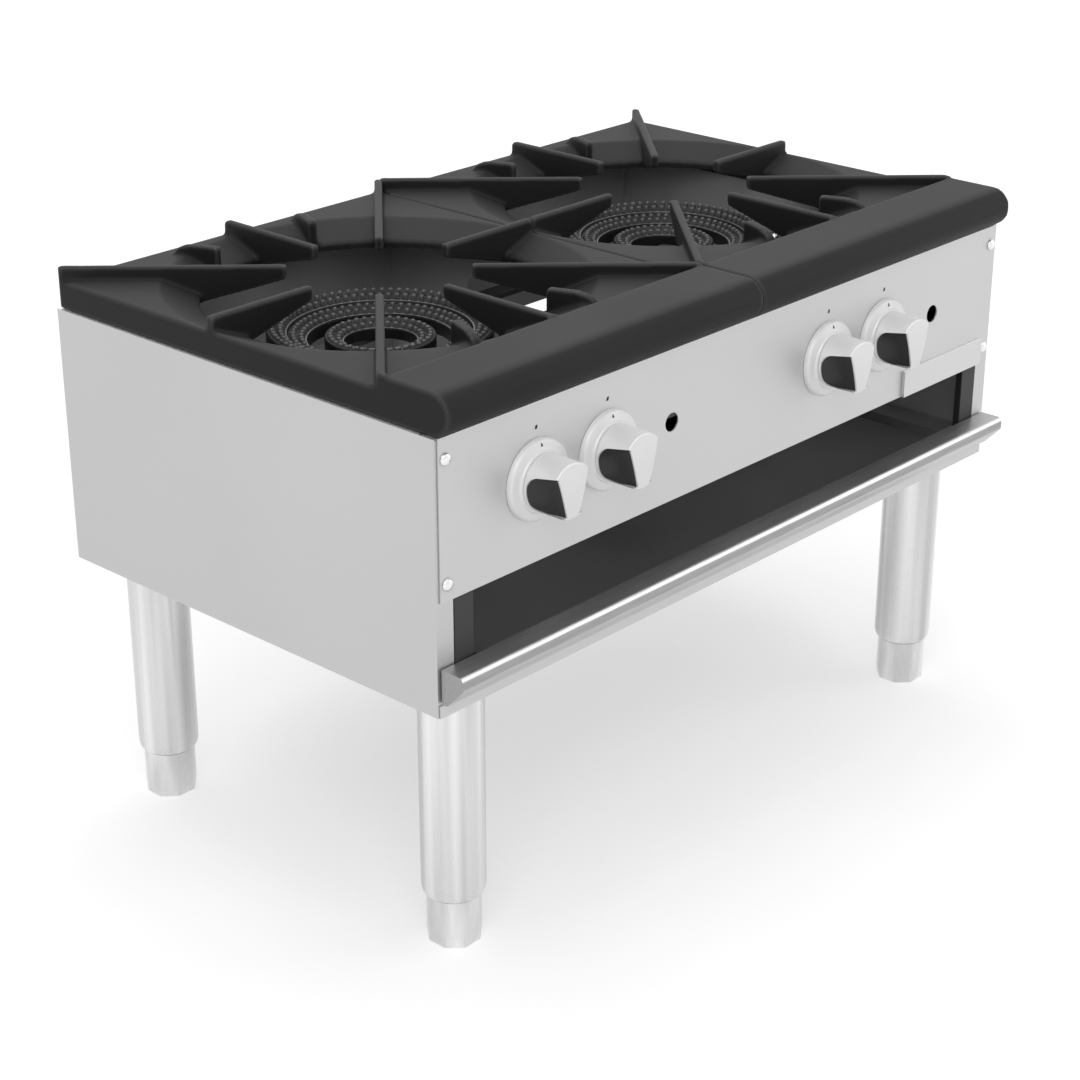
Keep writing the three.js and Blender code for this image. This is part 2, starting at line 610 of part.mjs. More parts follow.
// The inner ring is fed from below, past the front burner bar.
function innerBurner(bay) {
  const mouth = bay.x + KNOB_OFFSETS[0];
  const middle = (INNER_RING.inner + INNER_RING.outer) / 2;
  const start = [mouth, SHIELD_FRONT + 45, CONTROL_LINE];
  const end = [bay.x - middle, BURNER_Y - 8, BURNER_SEAT + INNER_RING.low];
  const route = routeBetween(start, end, FEED_SHARES);
  const body = joined(burnerRing(bay.x, INNER_RING, 24), mixingTube(mouth, route));
  return cut(body, mouthBore(mouth));
}

// A disc with two air windows that turns on the gas jet in front of the bell.
function airShutter(x) {
  const back = MOUTH_START - GAP;
  const front = back - SHUTTER_THICKNESS;
  const disc = rodAlongY(x, CONTROL_LINE, front, back, SHUTTER_RADIUS, 22);
  const tab = box(x - 4, x + 4, front, back, CONTROL_LINE + SHUTTER_RADIUS - 2, CONTROL_LINE + SHUTTER_RADIUS + 6);
  const bore = rodAlongY(x, CONTROL_LINE, front - 1, back + 1, HOOD_RADIUS + SHUTTER_BORE_CLEARANCE, 16);
  const windows = Object.values(SIDES).map((side) => (
    box(x + side * 10, x + side * 17, front - 1, back + 1, CONTROL_LINE - 7, CONTROL_LINE + 7)));
  return cut(joined(disc, tab), bore, ...windows);
}

// ---------------------------------------------------------------- gas line

function gasManifold() {
  const right = HALF_WIDTH - PIPE_RIGHT_INSET;
  const back = DEPTH - SHEET - GAP;
  const bend = new THREE.CurvePath();
  const y = PIPE_LINE_Y;
  const z = PIPE_LINE_Z;
  const at = (px, py) => new THREE.Vector3(px, py, z);
  bend.add(new THREE.QuadraticBezierCurve3(at(right - PIPE_BEND, y), at(right, y), at(right, y + PIPE_BEND)));
  const elbow = solid(new THREE.ExtrudeGeometry(
    new THREE.Shape().absarc(0, 0, PIPE_RADIUS, 0, 2 * Math.PI, false),
    { steps: 6, extrudePath: bend, bevelEnabled: false, curveSegments: 8 }));
  return joined(
    rodAlongX(y, z, PIPE_LEFT_INSET - HALF_WIDTH, right - PIPE_BEND + 1, PIPE_RADIUS),
    elbow,
    rodAlongY(right, z, y + PIPE_BEND - 1, back - 2, PIPE_RADIUS),
    rodAlongY(right, z, back - COUPLING_LENGTH, back, PIPE_RADIUS + COUPLING_WALL, 8));
}

function pipeClearance(x, halfWidth) {
  return rodAlongX(PIPE_LINE_Y, PIPE_LINE_Z, x - halfWidth, x + halfWidth, PIPE_RADIUS + GAP);
}

function gasValve(x) {
  const half = VALVE_WIDTH / 2;
  const z = CONTROL_LINE;
  const body = box(x - half, x + half, VALVE_FRONT, VALVE_BACK, z - half, z + half);
  const nose = rodAlongY(x, z, VALVE_FRONT - 9, VALVE_FRONT + 1, STEM_BORE_RADIUS + VALVE_NOSE_WALL, 12);
  const neck = rodAlongZ(x, PIPE_LINE_Y, PIPE_LINE_Z + PIPE_RADIUS - 3, z - half + 1, VALVE_NECK_RADIUS, 12);
  const hood = rodAlongY(x, z, VALVE_BACK - 1, HOOD_TIP, HOOD_RADIUS, 16);
  const stemBore = rodAlongY(x, z, VALVE_FRONT - 10, VALVE_FRONT + 20, STEM_BORE_RADIUS, 16);
  return cut(joined(body, nose, neck, hood), stemBore, pipeClearance(x, VALVE_WIDTH));
}

// The pilot: its shut-off on the manifold, its thin tube and its head beside the burner.
function pilot(bay) {
  const x = bay.x + VIEW_HOLE_OFFSET;
  const reach = OUTER_RING.outer + PILOT_STANDOFF + PILOT_HEAD_RADIUS;
  const tip = [bay.x + reach * Math.cos(PILOT_ANGLE), BURNER_Y + reach * Math.sin(PILOT_ANGLE)];
  const tipTop = BURNER_SEAT + OUTER_RING.high;
  const low = PIPE_LINE_Z + PIPE_RADIUS - 3;
  const shutOff = rodAlongZ(x, PIPE_LINE_Y, low, CONTROL_LINE + 7, 7, 12);
  const screw = rodAlongY(x, CONTROL_LINE, PIPE_LINE_Y - 15, PIPE_LINE_Y, 4, 10);
  const start = [x, SHIELD_FRONT, CONTROL_LINE];
  const bends = routeBetween(start, [...tip, tipTop], [
    [0, 0, 0], [0, 0.3, 0.05], [0.7, 0.85, 0.35], [1, 1, 0.7], [1, 1, 0.9]]);
  const tube = tubeThrough([[x, PIPE_LINE_Y + 3, CONTROL_LINE], ...bends], PILOT_TUBE_RADIUS, 12, 6);
  const head = rodAlongZ(...tip, tipTop - 12, tipTop, PILOT_HEAD_RADIUS, 12);
  return cut(joined(shutOff, screw, tube, head), pipeClearance(x, 10));
}

// ---------------------------------------------------------------- knobs

function knobBezel(x) {
  const back = -GAP;
  const front = -BEZEL_THICKNESS;
  const edge = back - BEZEL_EDGE;
  const hole = STEM_HOLE_RADIUS;
  const profile = [
    [hole, back], [BEZEL_RADIUS, back], [BEZEL_RADIUS, edge + 1], [BEZEL_RADIUS - 1.5, edge],
    [KNOB_RADIUS + 5, edge - 2], [KNOB_RADIUS, front], [hole, front]];
  return turnedAboutY(profile, x, CONTROL_LINE, 28);
}

const KNOB_BACK = -BEZEL_THICKNESS - GAP;
const KNOB_FRONT = KNOB_BACK - KNOB_LENGTH;
const CORE_BACK = KNOB_BACK - KNOB_BACK_RING;
const CORE_FRONT = KNOB_FRONT + KNOB_FACE;
const GRIP_HALF = KNOB_GRIP_WIDTH / 2;
const CORE_HALF_HEIGHT = Math.sqrt(KNOB_RADIUS ** 2 - GRIP_HALF ** 2);

// Bright outer shell: a back ring, a top and a bottom shoulder and the face of the grip bar.
function knobCap(x) {
  const z = CONTROL_LINE;
  const body = rodAlongY(x, z, KNOB_FRONT, KNOB_BACK, KNOB_RADIUS, 32);
  const slot = box(x - 2 * KNOB_RADIUS, x + 2 * KNOB_RADIUS, CORE_FRONT, CORE_BACK,
    z - CORE_HALF_HEIGHT, z + CORE_HALF_HEIGHT);
  const sideCuts = Object.values(SIDES).map((side) => (
    box(x + side * GRIP_HALF, x + side * 2 * KNOB_RADIUS, KNOB_FRONT - 1, CORE_BACK,
      z - CORE_HALF_HEIGHT, z + CORE_HALF_HEIGHT)));
  const bore = rodAlongY(x, z, CORE_BACK - 1, KNOB_BACK + 1, STEM_RADIUS + 2, 16);
  return cut(body, slot, ...sideCuts, bore);
}

// Black core with hollowed finger grips, made in one with the valve's stem.
function knobCore(x) {
  const z = CONTROL_LINE;
  const back = CORE_BACK - GAP;
  const front = CORE_FRONT + GAP;
  const wide = KNOB_RADIUS - 1;
  const narrow = GRIP_HALF - 1;
  const outline = new THREE.Shape();
  outline.moveTo(-wide, back);
  outline.quadraticCurveTo(-narrow, back - 4, -narrow, front);
  outline.lineTo(narrow, front);
  outline.quadraticCurveTo(narrow, back - 4, wide, back);
  outline.closePath();
  const half = CORE_HALF_HEIGHT - GAP;
  const block = solid(new THREE.ExtrudeGeometry(outline, { depth: 2 * half, bevelEnabled: false, curveSegments: 6 })
    .translate(x, 0, z - half));
  const round = rodAlongY(x, z, front - 1, back + 1, wide, 32);
  const stem = rodAlongY(x, z, back - 1, VALVE_FRONT + 18, STEM_RADIUS, 16);
  return joined(block.intersect(round), stem);
}

// ---------------------------------------------------------------- top grates

const GRATE_HALF = BAY_HALF - (GRATE_SIDE_INSET + GAP) / 2;
const FIELD_HALF = DEPTH - GRATE_SIDE_INSET - BURNER_Y;
const DISH_RADIUS = Math.min(GRATE_HALF, FIELD_HALF) - GRATE_RIM;

// Side view of the grate: a flat plate and, in front, a taller band with a half-round nose.
const NOSE_RADIUS = (GRATE_HEIGHT + BAND_RISE) / 2;
const NOSE_Y = NOSE_RADIUS - GRATE_OVERHANG;

function grateOutline() {
  const outline = new THREE.Shape();
  outline.moveTo(DEPTH - GRATE_SIDE_INSET, GRATE_BOTTOM);
  outline.lineTo(DEPTH - GRATE_SIDE_INSET, GRATE_TOP);
  outline.lineTo(GRATE_BAND, GRATE_TOP);
  outline.lineTo(GRATE_BAND, GRATE_TOP + BAND_RISE);
  outline.absarc(NOSE_Y, GRATE_BOTTOM + NOSE_RADIUS, NOSE_RADIUS, Math.PI / 2, 1.5 * Math.PI, false);
  outline.closePath();
  return outline;
}

// A radial blade: level top, lower edge that climbs to a rounded tip.
function blade(x, reach, angle) {
  const top = GRATE_TOP + BLADE_RISE;
  const under = GRATE_TOP - GRATE_DISH_DROP - GRATE_PLATE;
  const outline = new THREE.Shape();
  outline.moveTo(reach, GRATE_TOP - GRATE_PLATE / 2);
  outline.lineTo(reach, top - BLADE_CORNER / 2);
  outline.lineTo(reach - BLADE_CORNER / 2, top);
  outline.lineTo(BLADE_TIP_RADIUS + 1, top);
  outline.lineTo(BLADE_TIP_RADIUS, top - 1);
  outline.absarc(BLADE_TIP_RADIUS + BLADE_CORNER, top - BLADE_TIP_HEIGHT + BLADE_CORNER, BLADE_CORNER,
    Math.PI, 1.4 * Math.PI, false);
  outline.lineTo(GRATE_OPENING_RADIUS + 2, under);
  outline.lineTo(DISH_RADIUS, under + GRATE_DISH_DROP);
  outline.closePath();
  const geometry = new THREE.ExtrudeGeometry(outline, { depth: BLADE_THICKNESS, bevelEnabled: false, curveSegments: 3 });
  geometry.translate(0, 0, -BLADE_THICKNESS / 2).rotateX(Math.PI / 2).rotateZ(angle);
  return solid(geometry.translate(x, BURNER_Y, 0));
}

// A short radial fin across the dish, nearly as tall as the blades, with a rounded outer end.
function fin(x, angle) {
  const top = GRATE_TOP + FIN_RISE;
  const inner = GRATE_OPENING_RADIUS + 1;
  const outer = inner + FIN_LENGTH;
  const core = GRATE_TOP - GRATE_PLATE / 2;
  const outline = shapeOf([
    [inner, core - GRATE_DISH_DROP], [DISH_RADIUS, core], [outer, core], [outer, GRATE_TOP + 2], [outer - 4, top - 5],
    [outer - 12, top - 1.5], [outer - 22, top], [inner + 2, top], [inner, top - 2]]);
  const geometry = new THREE.ExtrudeGeometry(outline, { depth: FIN_THICKNESS, bevelEnabled: false });
  geometry.translate(0, 0, -FIN_THICKNESS / 2).rotateX(Math.PI / 2).rotateZ(angle);
  return solid(geometry.translate(x, BURNER_Y, 0));
}

function topGrate(bay) {
  const x = bay.side * (GRATE_HALF + GAP / 2);
  const left = x - GRATE_HALF;
  const right = x + GRATE_HALF;
  const back = DEPTH - GRATE_SIDE_INSET;
  const block = sectionAlongX(grateOutline(), left, right, 8);
  const lip = GRATE_TOP - GRATE_DISH_DROP;
  const dish = turnedAboutZ([
    [0, GRATE_BOTTOM - 5], [GRATE_OPENING_RADIUS, GRATE_BOTTOM - 5], [GRATE_OPENING_RADIUS, lip],
    [DISH_RADIUS, GRATE_TOP], [DISH_RADIUS, GRATE_TOP + 5], [0, GRATE_TOP + 5]], x, BURNER_Y, 64);
  const cavity = joined(
    box(left + GRATE_WALL, right - GRATE_WALL, NOSE_Y + GRATE_WALL, back - GRATE_WALL,
      GRATE_BOTTOM - 1, GRATE_TOP - GRATE_PLATE),
    box(left + GRATE_WALL, right - GRATE_WALL, NOSE_Y + GRATE_WALL, GRATE_BAND - GRATE_WALL,
      GRATE_BOTTOM - 1, GRATE_TOP + BAND_RISE - GRATE_PLATE));
  const kept = turnedAboutZ([
    [0, lip - GRATE_PLATE], [GRATE_OPENING_RADIUS, lip - GRATE_PLATE], [DISH_RADIUS, GRATE_TOP - GRATE_PLATE],
    [DISH_RADIUS, GRATE_TOP + 5], [0, GRATE_TOP + 5]], x, BURNER_Y, 64);
  const plate = cut(block, dish, cut(cavity, kept));
  const blades = [];
  for (let i = 0; i < 8; i += 1) {
    const diagonal = Math.atan2(FIELD_HALF, GRATE_HALF);
    const quarter = Math.floor(i / 2);
    const corner = [diagonal, Math.PI - diagonal, Math.PI + diagonal, -diagonal][quarter];
    const angle = i % 2 === 0 ? (quarter * Math.PI) / 2 : corner;
    const straight = quarter % 2 === 0 ? GRATE_HALF : FIELD_HALF;
    const reach = i % 2 === 0 ? straight : Math.hypot(GRATE_HALF, FIELD_HALF);
    const intoBand = i > 4 ? 4 : 0;
    blades.push(blade(x, reach + intoBand, angle));
  }
  const fins = [FIN_ANGLE, Math.PI - FIN_ANGLE, Math.PI + FIN_ANGLE, -FIN_ANGLE].map((angle) => fin(x, angle));
  const top = GRATE_TOP + BLADE_RISE;
  const field = box(left, right, GRATE_BAND - 1, back, GRATE_BOTTOM, top);
  const ironwork = joined(blades[0], ...blades.slice(1), ...fins).intersect(field);
  return joined(plate, ironwork);
}

// ---------------------------------------------------------------- the assembly

for (const [name, side] of Object.entries(SIDES)) {
  addPiece(`side_panel_${name}`, sidePanel(side), stainless);
  addPiece(`leg_channel_${name}`, legChannel(side), darkSteel);
  addPiece(`front_post_${name}`, frontPost(side), darkSteel);
  addPiece(`heat_shield_${name}`, sideShield(side), darkSteel);
}
addPiece('back_panel', backPanel(), stainless);
addPiece('control_panel', controlPanel(), stainless);
addPiece('nameplate', nameplate(), stainless);
addPiece('front_rail', frontRail(), stainless);
for (const screw of screws) addPiece(screw.name, panelScrew(screw), satinSilver);

for (const place of legs) {
  addPiece(`leg_${place.name}`, leg(place), brushedSteel);
  addPiece(`foot_${place.name}`, foot(place), brushedSteel);
}

addPiece('drip_tray', dripTray(), darkSteel);
addPiece('tray_handle', trayHandle(), brushedSteel);

addPiece('heat_shield_front', frontShield(), darkSteel);
addPiece('heat_shield_back', backShield(), darkSteel);
addPiece('bay_divider', divider(), darkSteel);
addPiece('burner_bar_front', burnerBar(-1), darkSteel);
addPiece('burner_bar_back', burnerBar(1), darkSteel);

addPiece('gas_manifold', gasManifold(), blackPipe);
for (const bay of bays) {
  addPiece(`outer_burner_${bay.name}`, outerBurner(bay), castIron);
  addPiece(`inner_burner_${bay.name}`, innerBurner(bay), castIron);
  addPiece(`pilot_${bay.name}`, pilot(bay), brass);
  addPiece(`top_grate_${bay.name}`, topGrate(bay), castIron);
}
controls.forEach((x, i) => {
  const number = i + 1;
  addPiece(`gas_valve_${number}`, gasValve(x), brass);
  addPiece(`air_shutter_${number}`, airShutter(x), darkSteel);
  addPiece(`knob_bezel_${number}`, knobBezel(x), satinSilver);
  addPiece(`knob_core_${number}`, knobCore(x), blackPlastic);
  addPiece(`knob_cap_${number}`, knobCap(x), satinSilver);
});

range.position.set(0, (KNOB_REACH - DEPTH) / 2, LEG_HEIGHT);

export default range;
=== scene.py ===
import math
import random

import bmesh
import bpy
from mathutils import Matrix, Vector


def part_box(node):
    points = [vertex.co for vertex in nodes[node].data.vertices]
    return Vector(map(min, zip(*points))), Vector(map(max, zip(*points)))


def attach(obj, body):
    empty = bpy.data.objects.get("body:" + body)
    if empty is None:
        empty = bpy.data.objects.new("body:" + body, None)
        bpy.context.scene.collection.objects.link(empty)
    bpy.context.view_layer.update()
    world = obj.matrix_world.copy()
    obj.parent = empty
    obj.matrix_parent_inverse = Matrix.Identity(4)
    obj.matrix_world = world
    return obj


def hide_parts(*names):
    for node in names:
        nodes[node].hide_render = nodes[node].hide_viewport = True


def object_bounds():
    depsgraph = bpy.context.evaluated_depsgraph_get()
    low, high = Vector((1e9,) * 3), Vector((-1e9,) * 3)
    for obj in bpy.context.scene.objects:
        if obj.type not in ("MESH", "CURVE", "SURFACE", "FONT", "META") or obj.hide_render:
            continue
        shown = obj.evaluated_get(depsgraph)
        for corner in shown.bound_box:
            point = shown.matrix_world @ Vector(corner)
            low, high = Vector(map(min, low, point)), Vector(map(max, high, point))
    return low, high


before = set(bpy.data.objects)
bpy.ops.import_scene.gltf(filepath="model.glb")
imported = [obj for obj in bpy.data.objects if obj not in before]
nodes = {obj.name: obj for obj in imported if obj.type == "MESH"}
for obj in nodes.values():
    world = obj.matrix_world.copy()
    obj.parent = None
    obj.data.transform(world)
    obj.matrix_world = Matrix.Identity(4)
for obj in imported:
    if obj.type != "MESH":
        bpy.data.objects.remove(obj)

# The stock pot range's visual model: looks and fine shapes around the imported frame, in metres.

cad_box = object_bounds()
random.seed(7)

# ---------------------------------------------------------------- places in the cabinet

MM = 0.001
SIDES = ("left", "right")
LEGS = ("front_left", "back_left", "front_right", "back_right")
KNOBS = range(1, 5)
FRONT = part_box("control_panel")[0].y
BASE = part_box("side_panel_left")[0].z
BAY_MIDDLE = {"left": -228.5, "right": 228.5}
GAS_HEIGHT = 203        # of the mixing tubes and the pilot taps


def at(x, y, z):
    """A point given in millimetres: x from the middle, y from the control panel's face and z
    from the cabinet's bottom."""
    return Vector((x * MM, FRONT + y * MM, BASE + z * MM))


def centre(node):
    lo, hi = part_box(node)
    return (lo + hi) / 2


# ---------------------------------------------------------------- materials


def grey(value):
    """The same value for red, green and blue."""
    return (value, value, value)


class Graph:
    """A material with short calls for its nodes."""

    def __init__(self, name, metallic=0.0, roughness=0.5, specular=0.5):
        self.material = bpy.data.materials.new(name)
        self.material.use_nodes = True
        self.tree = self.material.node_tree
        self.shader = self.tree.nodes["Principled BSDF"]
        self.shader.inputs["Metallic"].default_value = metallic
        self.shader.inputs["Roughness"].default_value = roughness
        self.shader.inputs["Specular IOR Level"].default_value = specular

    def node(self, kind, **settings):
        """A new node with its sockets and properties set by name."""
        made = self.tree.nodes.new(kind)
        for key, value in settings.items():
            if key in made.inputs:
                made.inputs[key].default_value = value
            else:
                setattr(made, key, value)
        return made

    def link(self, a, b):
        self.tree.links.new(a, b)

    def place(self, scale):
        """The surface's own place, scaled."""
        coords = self.node("ShaderNodeTexCoord")
        mapping = self.node("ShaderNodeMapping")
        mapping.inputs["Scale"].default_value = scale
        self.link(coords.outputs["Object"], mapping.inputs["Vector"])
        return mapping.outputs["Vector"]

    def noise(self, scale, detail, stretch=(1, 1, 1), roughness=0.5):
        """A pattern of values from 0 to 1."""
        made = self.node("ShaderNodeTexNoise", Scale=scale, Detail=detail, Roughness=roughness)
        self.link(self.place(stretch), made.inputs["Vector"])
        return made.outputs["Fac"]

    def ramp(self, value, stops):
        """The value as a colour, between stops of (value, colour or grey level)."""
        made = self.node("ShaderNodeValToRGB")
        ramp = made.color_ramp
        while len(ramp.elements) < len(stops):
            ramp.elements.new(0.5)
        for element, (place, colour) in zip(ramp.elements, stops):
            element.position = place
            element.color = (*(colour if isinstance(colour, tuple) else grey(colour)), 1)
        self.link(value, made.inputs["Fac"])
        return made.outputs["Color"]

    def mix(self, factor, a, b, blend="MIX"):
        """Colours a and b mixed, each an output, a colour or, for the factor, a number."""
        made = self.node("ShaderNodeMix", data_type="RGBA", blend_type=blend)
        colour_a, colour_b = made.inputs[6], made.inputs[7]
        for socket, value in ((made.inputs["Factor"], factor), (colour_a, a), (colour_b, b)):
            if isinstance(value, (int, float)):
                socket.default_value = value
            elif isinstance(value, tuple):
                socket.default_value = (*value, 1)
            else:
                self.link(value, socket)
        return made.outputs[2]

    def remap(self, value, low, high, start=0.0, end=1.0):
        """The value carried from start..end to low..high."""
        made = self.node("ShaderNodeMapRange")
        made.inputs["From Min"].default_value = start
        made.inputs["From Max"].default_value = end
        made.inputs["To Min"].default_value = low
        made.inputs["To Max"].default_value = high
        self.link(value, made.inputs["Value"])
        return made.outputs["Result"]

    def colour(self, value):
        self.link(value, self.shader.inputs["Base Color"])

    def rough(self, value, low, high):
        """Roughness that goes from low to high with the value."""
        self.link(self.remap(value, low, high), self.shader.inputs["Roughness"])

    def bump(self, value, strength, distance):
        made = self.node("ShaderNodeBump", Strength=strength, Distance=distance)
        self.link(value, made.inputs["Height"])
        self.link(made.outputs["Normal"], self.shader.inputs["Normal"])


def convex_edges(graph, start=0.51, end=0.58):
    """0 on flats and 1 along convex edges, from the mesh's own curvature."""
    geometry = graph.node("ShaderNodeNewGeometry")
    return graph.remap(geometry.outputs["Pointiness"], 0.0, 1.0, start, end)


def upward(graph):
    """How far the surface's own direction points up: -1 for undersides and 1 for level tops."""
    coords = graph.node("ShaderNodeTexCoord")
    split = graph.node("ShaderNodeSeparateXYZ")
    graph.link(coords.outputs["Normal"], split.inputs[0])
    return split.outputs["Z"]


def facing_up(graph, start=0.86, end=0.985):
    """0 on walls and undersides and 1 on level tops."""
    return graph.remap(upward(graph), 0.0, 1.0, start, end)


COOL = 1.004        # blue of stainless steel against its red and green


def brushed(name, shade, stretch, roughness, lines=0.015, mottle_and_painted_streaks=0.02, cloud_scale=2.5,
            cloud_stretch=(1, 1, 1), painted_top_highlight=None, metallic=1.0):
    """Brushed stainless: drawn lines, a slow mottle (on the legs and feet, stretched upright into
    painted reflection streaks), a roughness that follows the lines, and a painted highlight on
    surfaces that face up."""
    graph = Graph(name, metallic=metallic)
    fine = graph.noise(1.0, 4.0, stretch, 0.6)
    cloud = graph.noise(cloud_scale, 2.0, cloud_stretch)
    low, high = shade * (1 - mottle_and_painted_streaks), min(shade * (1 + mottle_and_painted_streaks), 1.0)
    base = graph.ramp(cloud, [(0.3, (low, low, low * COOL)), (0.7, (high, high, high * COOL))])
    drawn = graph.ramp(fine, [(0.25, 1 - 2.2 * lines), (0.75, 1.0)])
    skin = graph.mix(1.0, base, drawn, "MULTIPLY")
    # Surfaces that face up turn towards a lighter grey: a painted highlight, brightest on the
    # folded top edges.
    if painted_top_highlight:
        skin = graph.mix(facing_up(graph, 0.15, 0.5), skin, grey(painted_top_highlight))
    graph.colour(skin)
    graph.rough(fine, *roughness)
    graph.bump(fine, 0.05, 0.00004)
    return graph.material


LINES_X = (5, 900, 900)
LINES_Y = (900, 5, 900)
LINES_Z = (700, 700, 3)
# Sheets take a painted highlight on their up-facing surfaces.
SHEET = dict(painted_top_highlight=0.95, metallic=0.8)
stainless_x = brushed("stainless_drawn_along_x", 0.63, LINES_X, (0.5, 0.58), **SHEET)
stainless_y = brushed("stainless_drawn_along_y", 0.6, LINES_Y, (0.44, 0.52), **SHEET)
plate_steel = brushed("plate_steel", 0.66, LINES_X, (0.42, 0.5), **SHEET)
# Legs and feet: a strong mottle stretched upright paints bright and dark vertical streaks of
# reflection.
leg_steel = brushed("leg_steel", 0.69, LINES_Z, (0.24, 0.32), lines=0.008, mottle_and_painted_streaks=0.24,
                    cloud_scale=48.0, cloud_stretch=(1, 1, 0.02))
foot_steel = brushed("foot_steel", 0.72, LINES_Z, (0.22, 0.32), lines=0.008, mottle_and_painted_streaks=0.16,
                     cloud_scale=44.0, cloud_stretch=(1, 1, 0.2))


def folded_lip(name):
    """The tray handle's sheet, its tone set by slope as painted light: a dimmer top, a painted
    highlight along the fold, a darker grainy front and a brighter underside."""
    graph = Graph(name, metallic=0.85)
    slope = graph.remap(upward(graph), 0.0, 1.0, -1.0, 1.0)
    # Colour by slope, painted light: a brighter underside, a darker front, a painted highlight
    # along the fold and a dimmer top.
    underside = [(0.1, 0.6), (0.35, 0.6)]
    front = [(0.5, 0.38), (0.6, 0.45)]
    fold = [(0.68, 0.98), (0.92, 0.98)]
    top = [(0.985, 0.55), (1.0, 0.5)]
    painted_light_by_slope = graph.ramp(slope, underside + front + fold + top)
    streaks = graph.noise(1.0, 4.0, (22, 420, 420), 0.6)
    grain = graph.ramp(streaks, [(0.3, 0.8), (0.7, 1.0)])
    graph.colour(graph.mix(1.0, painted_light_by_slope, grain, "MULTIPLY"))
    graph.rough(streaks, 0.34, 0.44)
    graph.bump(streaks, 0.12, 0.00005)
    return graph.material


lip_steel = folded_lip("lip_steel")


def dull_steel(name, shade, roughness, metallic=0.3):
    """Plain sheet inside the cabinet, dulled and slightly uneven."""
    graph = Graph(name, metallic=metallic, roughness=roughness)
    cloud = graph.noise(9.0, 4.0, roughness=0.6)
    grime = graph.noise(2.2, 3.0)
    base = graph.ramp(cloud, [(0.3, shade * 0.94), (0.72, shade * 1.05)])
    dirty = graph.ramp(grime, [(0.35, shade * 0.86), (0.7, shade)])
    graph.colour(graph.mix(0.35, base, dirty))
    graph.rough(cloud, roughness - 0.05, roughness + 0.08)
    graph.bump(cloud, 0.06, 0.00015)
    return graph.material


shield_steel = dull_steel("shield_steel", 0.4, 0.5)
tray_steel = dull_steel("tray_steel", 0.15, 0.6)
post_steel = dull_steel("post_steel", 0.04, 0.6, 0.0)
base_steel = dull_steel("base_steel", 0.3, 0.45, 0.6)


def cast(name, shade, roughness, grain, dust_and_top_light_share, wear_and_highlight_share, specular):
    """Cast iron: a sandy skin, tops lighter than the walls as dust and painted top light, and
    convex edges lighter as wear and painted highlight.
    """
    graph = Graph(name, metallic=0.0, roughness=roughness, specular=specular)
    sand = graph.noise(grain, 5.0, roughness=0.65)
    blotch = graph.noise(6.0, 3.0)
    wall = graph.ramp(blotch, [(0.3, shade * 0.85), (0.7, shade * 1.15)])
    top = graph.ramp(blotch, [(0.3, shade * dust_and_top_light_share * 0.84), (0.7, shade * dust_and_top_light_share * 1.12)])
    # Up-facing surfaces take the lighter ramp: dust and painted top light.
    skin = graph.mix(facing_up(graph), wall, top)
    speckled = graph.mix(1.0, skin, graph.ramp(sand, [(0.3, 0.74), (0.7, 1.0)]), "MULTIPLY")
    # Convex edges are lightened: wear, and a painted highlight on the stud tips.
    graph.colour(graph.mix(convex_edges(graph), speckled, grey(shade * wear_and_highlight_share)))
    graph.rough(sand, roughness - 0.06, roughness + 0.08)
    graph.bump(sand, 0.2, 0.00025)
    return graph.material


# The top and edge shares are partly painted light: lit tops over shaded walls, and painted
# highlights on the stud tops.
grate_iron = cast("grate_iron", 0.0155, 0.55, 700.0, 2.5, 5.2, 0.18)
burner_iron = cast("burner_iron", 0.009, 0.45, 900.0, 1.7, 3.0, 0.22)
stud_iron = cast("stud_iron", 0.011, 0.32, 1200.0, 7.0, 8.0, 0.4)


def moulded(name, shade, roughness, speck):
    """Moulded plastic with a faint grain."""
    graph = Graph(name, roughness=roughness, specular=0.4)
    grain = graph.noise(1400.0, 2.0)
    cloud = graph.noise(30.0, 2.0)
    dark = tuple(c * (1 - speck) for c in shade)
    graph.colour(graph.ramp(cloud, [(0.3, dark), (0.7, shade)]))
    graph.rough(grain, roughness - 0.05, roughness + 0.06)
    graph.bump(grain, 0.08, 0.0001)
    return graph.material


knob_black = moulded("knob_black", (0.02, 0.02, 0.021), 0.4, 0.12)
mark_black = moulded("mark_black", grey(0.01), 0.5, 0.1)


def satin_silver(name, shade, roughness, metallic):
    """Satin plated plastic of the knob shells and bezels."""
    graph = Graph(name, metallic=metallic, roughness=roughness)
    cloud = graph.noise(22.0, 3.0)
    grain = graph.noise(1500.0, 2.0)
    graph.colour(graph.ramp(cloud, [(0.3, shade * 0.97), (0.7, shade)]))
    graph.rough(cloud, roughness - 0.04, roughness + 0.05)
    graph.bump(grain, 0.04, 0.00006)
    return graph.material


silver = satin_silver("knob_silver", 0.9, 0.36, 0.25)
bezel_silver = satin_silver("bezel_silver", 0.92, 0.4, 0.15)


def machined(name, colour, roughness):
    """Turned metal with fine rings of light and dark."""
    graph = Graph(name, metallic=1.0, roughness=roughness)
    turned = graph.noise(420.0, 3.0, (1, 1, 6))
    dark = tuple(c * 0.86 for c in colour)
    graph.colour(graph.ramp(turned, [(0.3, dark), (0.7, colour)]))
    graph.rough(turned, roughness - 0.06, roughness + 0.1)
    return graph.material


brass = machined("brass", (0.62, 0.44, 0.2), 0.3)
bright_screw = machined("bright_screw", grey(0.86), 0.2)
rim_steel = machined("burner_rim", grey(0.34), 0.3)
tip_steel = machined("pilot_tip", (0.8, 0.78, 0.74), 0.2)
black_pipe = dull_steel("black_pipe", 0.03, 0.5)

# ---------------------------------------------------------------- mesh helpers

TINY = 1e-6
ROOM = 0.45             # of an edge, the most that a rounded corner takes
UP = Vector((0, 0, 1))


